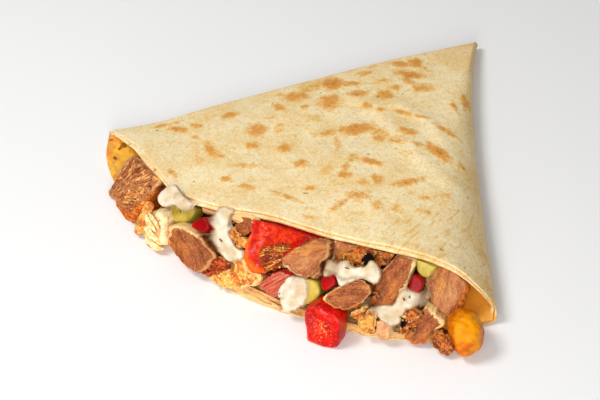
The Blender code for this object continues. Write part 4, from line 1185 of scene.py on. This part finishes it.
def make_strips():
    """The tongue, the shreds as one piece and the torn plies as one piece."""
    loops, marks = poured(TONGUE)
    flat = 0 * marks["rim"]
    marks.update(tone=flat + 0.16, red=flat, hole=flat, grain=marks["local"])
    keep("crisp_tongue", loops, marks, crust)
    pale = plain_finish("shreds", (238, 186, 106), (255, 234, 184), 0.4)
    for name, kind, streams, finish in (("shreds", "crisp", SHREDS, pale),
                                        ("torn_plies", "crepe", PLIES, crepe_skin)):
        grids = [poured(stream, 60, 20) for stream in streams]
        joined = {mark: [marks[mark] for _, marks in grids] for mark in grids[0][1]}
        joined.update(floor_band=[values + 0.8 for values in joined["rim"]], flat=joined["local"])
        surface(name, [loops for loops, _ in grids], finish, joined)


make_strips()


# Cheese: processed cheese that melted on the griddle, ran out at the right end and set again as a
# soft orange lump.

CHEESE = (
    Piece("cheese_blob", 34, 0.932, 201, 11.4, 18, 30, (),
          ((-7.8, 2.9), (-8.2, -0.8), (-4.9, -2.8), (-3.7, -5.9), (-2.4, -11), (2.5, -11.6), (5.2, -8.8),
           (9.3, -5.2), (9.3, 0.2), (7.6, 5), (4.7, 9.2), (-0.2, 10.3), (-3.8, 8.9), (-7.4, 5.9))),
)
BLOB = Form(0.8, 0.9, 0.04, 0.0, 3)


def cheese_relief(local, seed):
    """A few soft swells."""
    return 0.55 * rough(local, 9, seed) + 0.18 * rough(local, 3.5, seed + 5)


def cheese_finish():
    """Even orange with a paler bloom, soft gloss and a few red-brown crumbs pressed in."""
    made = Finish("cheese", {"Coat Weight": 0.08, "Coat Roughness": 0.12, "Specular IOR Level": 0.1})
    place = made.place()
    clouds, grit = made.noise(place, 90), made.noise(place, 300, 3, 0.6)
    browned = made.mark("browned") + (clouds - 0.5) * 1.4
    made.set("Base Color", made.laid((226, 142, 4),
                                     (clouds + grit * 0.5, 0.62, 0.86, 1, (200, 96, 0)),
                                     (browned, 0.25, 0.75, 0.8, (178, 78, 4)),
                                     (grit + clouds * 0.3, 0.78, 0.88, 0.6, (196, 80, 4)),
                                     (grit, 0.36, 0.26, 0.5, (255, 206, 90))))
    made.set("Roughness", clouds * 0.3 + 0.2)
    made.set("Normal", made.bump(clouds + grit * 0.8, 0.0009, 0.7))
    return made.material


def make_cheese():
    """The one lump."""
    for piece in CHEESE:
        loops, marks, _ = chunk(piece, BLOB, cheese_relief)
        marks["browned"] = np.clip(-marks["local"][..., 0] / 7, 0, 1)
        keep(piece.name, loops, marks, cheese_finish())


make_cheese()


# The imported filling behind the pieces: chopped meat and sauce, pressed in as the crepe was folded
# over it. Its colour is painted shade, nearly black, because no light gets in there.

# It stays a gap under the wall and further in at the folds, the more so near the mouth, where its
# face swells out.
WALL_GAP, FOLD_GAP, MOUTH_GAP, FACE_SWELL = 0.35, 2.6, 18.0, 5


def filling_loops():
    """Loops like the crepe's own hollow, a little smaller, with a lumpy face at the mouth."""
    across, deep = across_steps(70), WALL + WALL_GAP

    def loop(share):
        inset = SIDE_INSET * WALL + FOLD_GAP + MOUTH_GAP * share ** 6
        top, floor = [sheet(across, share, deep, is_top, inset) for is_top in (True, False)]
        return np.concatenate([top, floor[::-1]])

    rows = [loop(share) for share in np.linspace(0.28, 0.90, 24)]
    end = rows[-1]
    line = pressed_flat(end)
    angle = fan_angle(np.concatenate([across, across[::-1]]))
    out = np.stack([np.sin(angle), -np.cos(angle), 0 * angle], -1)
    for inward in np.linspace(0, 1, 25)[1:-1]:
        row = end * (1 - inward) + line * inward
        swell = FACE_SWELL * math.sin(math.pi / 2 * inward) * (1 + 0.35 * seeded_waves(row / 7, 5))
        lumps = 1.2 * rough(row, 5, 71) * inward * (1 - inward) * 4
        rows.append(row + out * (swell + lumps)[..., None])
    return np.stack([pressed_flat(rows[0])] + rows + [pressed_flat(line + FACE_SWELL * out)])


def filling_finish():
    """Painted shade: a nearly black moist brown, with lighter shreds."""
    made = Finish("filling", {"Coat Weight": 0.2, "Coat Roughness": 0.3})
    place = made.place()
    clouds, grit = made.noise(place, 160, 4, 0.65), made.noise(place, 420)
    # painted shade: the colour is nearly black, as the gaps between the pieces are
    made.set("Base Color", made.laid((34, 12, 4), (clouds, 0.4, 0.7, 1, (84, 38, 14)),
                                     (grit, 0.6, 0.72, 0.5, (150, 84, 38))))
    made.set("Roughness", grit * 0.4 + 0.4)
    made.set("Normal", made.bump(grit + clouds, 0.0018, 0.9))
    return made.material


keep("filling", filling_loops(), {}, filling_finish())


# Sauce: thick white garlic and yoghurt sauce, spooned over the filling, so that it lies on the
# pieces, bridges the small gaps between them and ends in a rounded edge.

Spoonful = namedtuple("Spoonful", "name seed across reach height lean thick edge bed fade corners")
SAUCES = (
    Spoonful("sauce_left", 35, 0.326, 206, 30, 38, 1.6, 3, -3, -50,
             ((-8.2, -7.8), (-4.3, -7.8), (-1.1, -6.1), (-0.7, -2.8), (4.4, -4.7), (10.3, -1.8),
              (10.5, 3.7), (12.7, 5.7), (9, 4.9), (4, 3.5), (-2, 4.4), (-5.8, 5.5), (-10.1, -0.6),
              (-10.8, -5.7))),
    Spoonful("sauce_stream", 36, 0.442, 203, 25.4, 38, 1.3, 3.8, -4, 215,
             ((-5.7, 1.6), (-6.1, -1.6), (-8.1, -5.7), (-2.4, -7.6), (5.7, -9.9), (11.3, -9),
              (13.8, -5.5), (13.3, -0.7), (9.4, -2.1), (5.6, 0.1), (2.3, 2.2), (3.2, 5), (-1.5, 7.2),
              (-1.1, 13.6), (-8.7, 11.3), (-11.8, 3.6))),
    Spoonful("sauce_middle", 37, 0.709, 196, 31.6, 42, 1.3, 3.8, -2.5, 130,
             ((-13.4, -3.7), (-10.5, -6.3), (-7.1, -3.3), (-5.1, -4.7), (-2.8, -8.5), (2.4, -4.3),
              (5.5, -1.6), (8.5, -1.8), (12.7, -3.6), (14.2, 3.4), (9.2, 7.4), (6.2, 7.7), (5.7, 4.5),
              (3.7, 3.8), (1.3, 2.4), (-1.3, 3.1), (-3.4, 5.2), (-7, 3.5), (-10.2, 3), (-13, 3.7),
              (-14.1, 0.1))),
    Spoonful("sauce_drip", 38, 0.613, 208, 16.8, 30, 1.8, 4.5, -3, 5,
             ((-3.3, 8.4), (-5.8, 3.2), (-6.3, -0.4), (-6, -5.5), (-4.6, -8.7), (-2.8, -10.4),
              (0.9, -10.5), (3.1, -9.2), (4.2, -6.4), (5.6, -5.2), (8.4, -4.6), (9.3, -1.9), (8.9, 4),
              (7.3, 8.2), (5.2, 9.2), (0.9, 8.8))),
    Spoonful("sauce_right", 39, 0.817, 196, 19, 38, 1.25, 4, -4, 40,
             ((-4.7, -0.9), (-8.6, -1.5), (-16.4, -3.7), (-11.7, -7.4), (-8.1, -9.3), (-3.3, -11.5),
              (-0.2, -8.9), (0.2, -5.5), (1.5, -2.4), (3.7, -1.2), (5.2, -0.3), (9, -0.9), (12.7, 4),
              (12.2, 8.6), (7.2, 11.5), (5.7, 7.4), (4.3, 7.3), (2, 7.7), (-1.6, 9), (-3.8, 3.6))),
)


def to_sides(points, outline):
    """How far each point is inside the outline, below nought outside, and its nearest side point."""
    start, run = outline, np.roll(outline, -1, 0) - outline
    here = points[..., None, :] - start
    part = np.clip((here * run).sum(-1) / (run * run).sum(-1), 0, 1)
    gap = here - part[..., None] * run
    far = np.linalg.norm(gap, axis=-1)
    nearest = far.argmin(-1)
    point = points - np.take_along_axis(gap, nearest[..., None, None], -2)[..., 0, :]
    far = far.min(-1)
    above = start[:, 1] > points[..., None, 1]
    crosses = above != (np.roll(start, -1, 0)[:, 1] > points[..., None, 1])
    rise = np.where(run[:, 1] == 0, 1e-9, run[:, 1])
    meets = start[:, 0] + (points[..., None, 1] - start[:, 1]) * run[:, 0] / rise
    inside = (crosses & (points[..., None, 0] < meets)).sum(-1) % 2 == 1
    return np.where(inside, far, -far), point


# The pieces are mapped in square cells. Raised five times by its highest neighbours, lowered three
# times and evened four times, a map closes the narrow gaps between them. The sauce is a finer net,
# and part of the way across it starts to lose most of its thickness.
MAP_CELL, NET_CELL = 0.6, 0.30
FADE_START, FADE_RUN, FADE = 0.42, 0.58, 0.85
CLOSED = [np.max] * 5 + [np.min] * 3 + [np.mean] * 4


def lie_of_pieces(across, reach, height, lean, low, high, closing=CLOSED):
    """A map of how far the pieces stand out in a frame: each cell's highest point, narrow gaps closed."""
    local = (np.concatenate(list(visible.values())) - at(across, reach, height)) @ face_frame(across, lean).T
    shape = np.ceil((high - low) / MAP_CELL).astype(int) + 1
    cells = np.round((local[:, :2] - low) / MAP_CELL).astype(int)
    real = (cells >= 0).all(1) & (cells < shape).all(1) & (np.abs(local[:, 2]) < 25)
    top = np.full(shape, -30.0)
    np.maximum.at(top, tuple(cells[real].T), local[real, 2])
    for choose in closing:
        padded = np.pad(top, 1, mode="edge")
        top = choose([padded[1 + x:padded.shape[0] - 1 + x, 1 + y:padded.shape[1] - 1 + y]
                      for x in (-1, 0, 1) for y in (-1, 0, 1)], 0)
    return top


def read_map(top, points, low):
    """The map's value at each point, straight between its cells."""
    place = np.clip((points - low) / MAP_CELL, 0, np.array(top.shape) - 1.001)
    base = np.floor(place).astype(int)
    part = place - base
    x, y = base[..., 0], base[..., 1]
    u, v = part[..., 0], part[..., 1]
    return ((top[x, y] * (1 - u) + top[x + 1, y] * u) * (1 - v)
            + (top[x, y + 1] * (1 - u) + top[x + 1, y + 1] * u) * v)


def spooned(spoonful):
    """Grids of a spoonful: a net over its outline, front and back, that lies on the pieces.

    Points outside the outline move to its nearest side, where front and back meet. Inside, the
    front rises from just under the pieces' skin at the outline to the full thickness, unevenly, so
    that the sauce ends where it thins out, and it thins out most towards one side. The body is how
    thick it is over them.
    """
    outline = cut_corners(spoonful.corners, 2)
    low, high = outline.min(0) - 3, outline.max(0) + 3
    place = spoonful.across, spoonful.reach, spoonful.height
    top = lie_of_pieces(*place, spoonful.lean, low, high)
    steps = ((high - low) / NET_CELL).astype(int)
    x, y = np.linspace(low[0], high[0], steps[0]), np.linspace(low[1], high[1], steps[1])
    points = np.stack(np.meshgrid(x, y, indexing="ij"), -1)
    deep, nearest = to_sides(points, outline)
    points = np.where(deep[..., None] > 0, points, nearest)
    deep = np.maximum(deep, 0)
    base = np.maximum(read_map(top, points, low), spoonful.bed)
    flat = np.concatenate([points, points[..., :1] * 0], -1)
    wander = 0.45 * rough(flat, 5, spoonful.seed) + 0.25 * rough(flat, 2.2, spoonful.seed + 7)
    risen = np.clip((deep + 0.35 + wander * np.clip(deep, 0, 1)) / spoonful.edge, 0, 1)
    uneven = 1 + 0.20 * rough(flat, 7, spoonful.seed + 3)
    thin_way = np.array(heading(spoonful.fade))
    start, end = (outline @ thin_way).min(), (outline @ thin_way).max()
    run = ramp((points @ thin_way - start) / (end - start), FADE_START, FADE_RUN)
    uneven = uneven * (1 - FADE * run * run * (3 - 2 * run))
    body = spoonful.thick * uneven * np.sqrt(1 - (1 - risen) ** 2) - 0.45 * (1 - risen) ** 2
    front, back = base + np.where(deep > 0, body + 0.15, -0.6), base - 0.6 - 1.2 * np.clip(deep, 0, 1)
    sheets = []
    for depth in (front, back):
        local = np.concatenate([points, depth[..., None]], -1)
        sheets.append(above_table(at(*place) + local @ face_frame(spoonful.across, spoonful.lean)))
    return sheets, body, deep > 0


def sauce_finish():
    """White and creamy, glossy, see-through, and tan where it thins out: partly the thin sauce's colour,
    partly painted shade at its edges.
    """
    made = Finish("sauce", {"Coat Weight": 0.08, "Coat Roughness": 0.2, "Specular IOR Level": 0.2})
    place, body = made.place(), made.mark("body")
    clouds = made.noise(place, 150)
    made.set("Base Color", made.laid((226, 213, 190),
                                     (clouds, 0.38, 0.66, 1, (202, 176, 138)),
                                     # tan where the sauce thins out: partly its own colour, partly painted
                                     # shade at its edges
                                     (body + (clouds - 0.5) * 0.9, 1.0, 0.1, 0.65, (196, 146, 94))))
    made.set("Roughness", clouds * 0.2 + 0.3)
    made.set("Alpha", made.step(body + (made.noise(place, 300, 3, 0.6) - 0.5) * 0.5, 0.05, 0.95))
    made.set("Normal", made.bump(clouds + made.noise(place, 500, 2) * 0.3, 0.0010, 0.7))
    return made.material


def make_sauce():
    """Each spoonful, as one closed skin."""
    finish = sauce_finish()
    lying = []
    for spoonful in SAUCES:
        (front, back), body, within = spooned(spoonful)
        # a net is closed as rows of loops: along the front, and back along the back
        loops = np.concatenate([front, back[:, ::-1]], 1)
        marks = {"body": np.concatenate([body, 1.3 * body[:, ::-1]], 1)}
        within = np.concatenate([within, within[:, ::-1]], 1)
        surface(spoonful.name + "_piece", loops, finish, marks, (spoonful.name,), within)
        lying.append(front.reshape(-1, 3))
    return np.concatenate(lying)


sauce_skin = make_sauce()


# What fell off: chopped herb, which sticks to the sauce, crumbs of crust along the mouth, and bits
# of chopped meat in the gaps between the pieces.

# Herb flecks lie at these places across and reaches, crumbs come off these pieces, and chopped meat
# keeps clear of these kinds.
HERBS = ((0.444, 203.9), (0.700, 194.3), (0.816, 196.9), (0.824, 195.5), (0.345, 206.0))
CRUMBLY = ("crisp_left", "crisp_low", "crisp_yellow", "crisp_middle", "chicken_left", "chicken_pale",
           "crisp_inner")
BARE_KINDS = ("pepper", "tomato", "cucumber", "onion", "cheese")

# Crumbs lie at least that far past the lip and over the table. Chopped meat lies in gaps at least
# that deep, set back from the pieces in front of it, and clear of the bare kinds.
PAST_LIP, OVER_TABLE = 4, 4
GAP_DEPTH, SET_BACK, CLEAR = 3.0, 3.2, 3.2


def bits(middles, sizes, seed, lean, lumps=1.2):
    """Small lumps: ovals of those lengths, widths and thicknesses, turned at random and lying on a slope."""
    draw = np.random.default_rng(seed)
    rise, turn = np.linspace(0, math.pi, 13)[:, None], np.linspace(0, 2 * math.pi, 16, endpoint=False)[None]
    sides = np.sin(rise) * np.cos(turn), np.sin(rise) * np.sin(turn), np.cos(rise)
    ball = np.stack(np.broadcast_arrays(*sides), -1)
    grids = []
    for (across, middle), size in zip(middles, sizes):
        way = draw.uniform(0, math.pi)
        cos, sin = math.cos(way), math.sin(way)
        spin = np.array([[cos, sin, 0], [-sin, cos, 0], [0, 0, 1]])
        grid = ball * (1 + 0.2 * rough(ball, lumps, seed + len(grids)))[..., None] * np.array(size) / 2
        grids.append(middle + grid @ spin @ face_frame(across, lean))
    return grids


def nearest_on(skin, across, reach):
    """The skin's point over a place on the table."""
    away = np.linalg.norm((skin - at(across, reach, 0))[:, :2], axis=1)
    return skin[np.argmin(away - 0.15 * skin[:, 2])]


def make_bits():
    """The herb flecks and the crumbs, each kind as one piece. Crumbs stay past the lip and off the table."""
    draw = np.random.default_rng(4)
    flecks = [(across, nearest_on(sauce_skin, across, reach) + (0, 0, 0.1)) for across, reach in HERBS]
    sizes = [(draw.uniform(1.6, 2.6), draw.uniform(0.8, 1.2), 0.3) for _ in flecks]
    herb = plain_finish("herb", (60, 66, 26), (112, 112, 54), 0.5)
    surface("herb_flecks", bits(flecks, sizes, 31, 25), herb)
    crumbs = []
    for name, points in visible.items():
        if name in CRUMBLY:
            for point in points[draw.integers(0, len(points), 24)]:
                x, y = point[0] - POINT_X, point[1] - POINT_Y
                across = math.degrees(math.atan2(x, -y)) / FAN_DEG + 0.5
                if math.hypot(x, y) > lip_reach(across) + PAST_LIP and point[2] > OVER_TABLE:
                    crumbs.append((across, point))
    sizes = [draw.uniform(0.5, 1.3) * draw.uniform(0.7, 1.2, 3) for _ in crumbs]
    golden = plain_finish("crumbs", (190, 104, 34), (246, 202, 128), 0.55)
    surface("crumbs", bits(crumbs, sizes, 51, 40), golden)


def make_scraps():
    """Chopped meat as one piece: bits set a little back in the gaps that a map of the mouth shows."""
    draw = np.random.default_rng(8)
    low, high, lean = np.array([-8.0, -14.0]), np.array([8.0, 14.0]), 40
    kept_clear = np.concatenate([points for name, points in visible.items() if name.startswith(BARE_KINDS)])
    scraps = []
    for across in np.arange(0.29, 0.96, 0.07):
        middle = (across, lip_reach(across) + 10, 15)
        bare = lie_of_pieces(*middle, lean, low, high, [np.max, np.max, np.min])
        closed = lie_of_pieces(*middle, lean, low, high)
        gaps = np.argwhere((closed - bare > GAP_DEPTH) & (bare > -16))
        for x, y in gaps[draw.permutation(len(gaps))[:7]]:
            depth = max(closed[x, y] - SET_BACK, bare[x, y] + 0.4)
            local = np.array([*(low + MAP_CELL * np.array([x, y])), depth])
            point = at(*middle) + local @ face_frame(across, lean)
            if point[2] > 2.5 and np.linalg.norm(kept_clear - point, axis=1).min() > CLEAR:
                scraps.append((across, point))
    sizes = [draw.uniform(2.2, 4.6) * np.array([1, draw.uniform(0.5, 0.8), draw.uniform(0.4, 0.7)])
             for _ in scraps]
    grids = [tucked(grid) for grid in bits(scraps, sizes, 91, lean, 2.6)]
    brown = plain_finish("chopped", (92, 34, 6), (186, 110, 52), 0.45)
    surface("chopped_meat", grids, brown)


make_bits()
make_scraps()


# The stage is a plain pale floor with soft light from above, and a camera that looks down on the
# mouth from its front right.

def stage():
    """The floor, the lights and the camera."""
    floor = bpy.data.meshes.new("floor")
    floor.from_pydata([(-3, -3, 0), (3, -3, 0), (3, 3, 0), (-3, 3, 0)], [], [(0, 1, 2, 3)])
    pale = Finish("floor", {"Base Color": (0.86, 0.86, 0.86, 1), "Roughness": 0.9})
    floor.materials.append(pale.material)
    ground = bpy.data.objects.new("floor", floor)
    bpy.context.scene.collection.objects.link(ground)

    world = bpy.data.worlds.new("studio")
    bpy.context.scene.world = world
    world.use_nodes = True
    world.node_tree.nodes["Background"].inputs["Color"].default_value = (1.0, 0.99, 0.97, 1)
    world.node_tree.nodes["Background"].inputs["Strength"].default_value = 0.31
    for name, size, power, (x, y, z) in (("key", 0.30, 5.2, (-0.34, -0.40, 0.84)),
                                         ("front", 0.5, 3.0, (0.34, -0.62, 0.50)),
                                         ("low", 0.3, 1.1, (0.30, -0.56, 0.13))):
        lamp = bpy.data.lights.new(name, "AREA")
        lamp.size, lamp.energy = size, power
        light = bpy.data.objects.new(name, lamp)
        bpy.context.scene.collection.objects.link(light)
        light.location = (x, y, z)
        flat = math.hypot(x, y)
        light.rotation_euler = (math.atan2(flat, z), 0, math.atan2(y, x) + math.pi / 2)

    turn, rise, away = math.radians(36.3), math.radians(47.5), 0.820
    target = ((POINT_X - 11.8) * MM, (POINT_Y - 144.5) * MM, 0.0)
    lens = bpy.data.cameras.new("camera")
    lens.lens, lens.sensor_width = 100.0, 36.0
    camera = bpy.data.objects.new("camera", lens)
    bpy.context.scene.collection.objects.link(camera)
    camera.location = (target[0] + math.sin(turn) * math.cos(rise) * away,
                       target[1] - math.cos(turn) * math.cos(rise) * away, math.sin(rise) * away)
    camera.rotation_euler = (math.pi / 2 - rise, 0, turn)
    bpy.context.scene.camera = camera
    bpy.context.scene.view_settings.view_transform = "Standard"


stage()
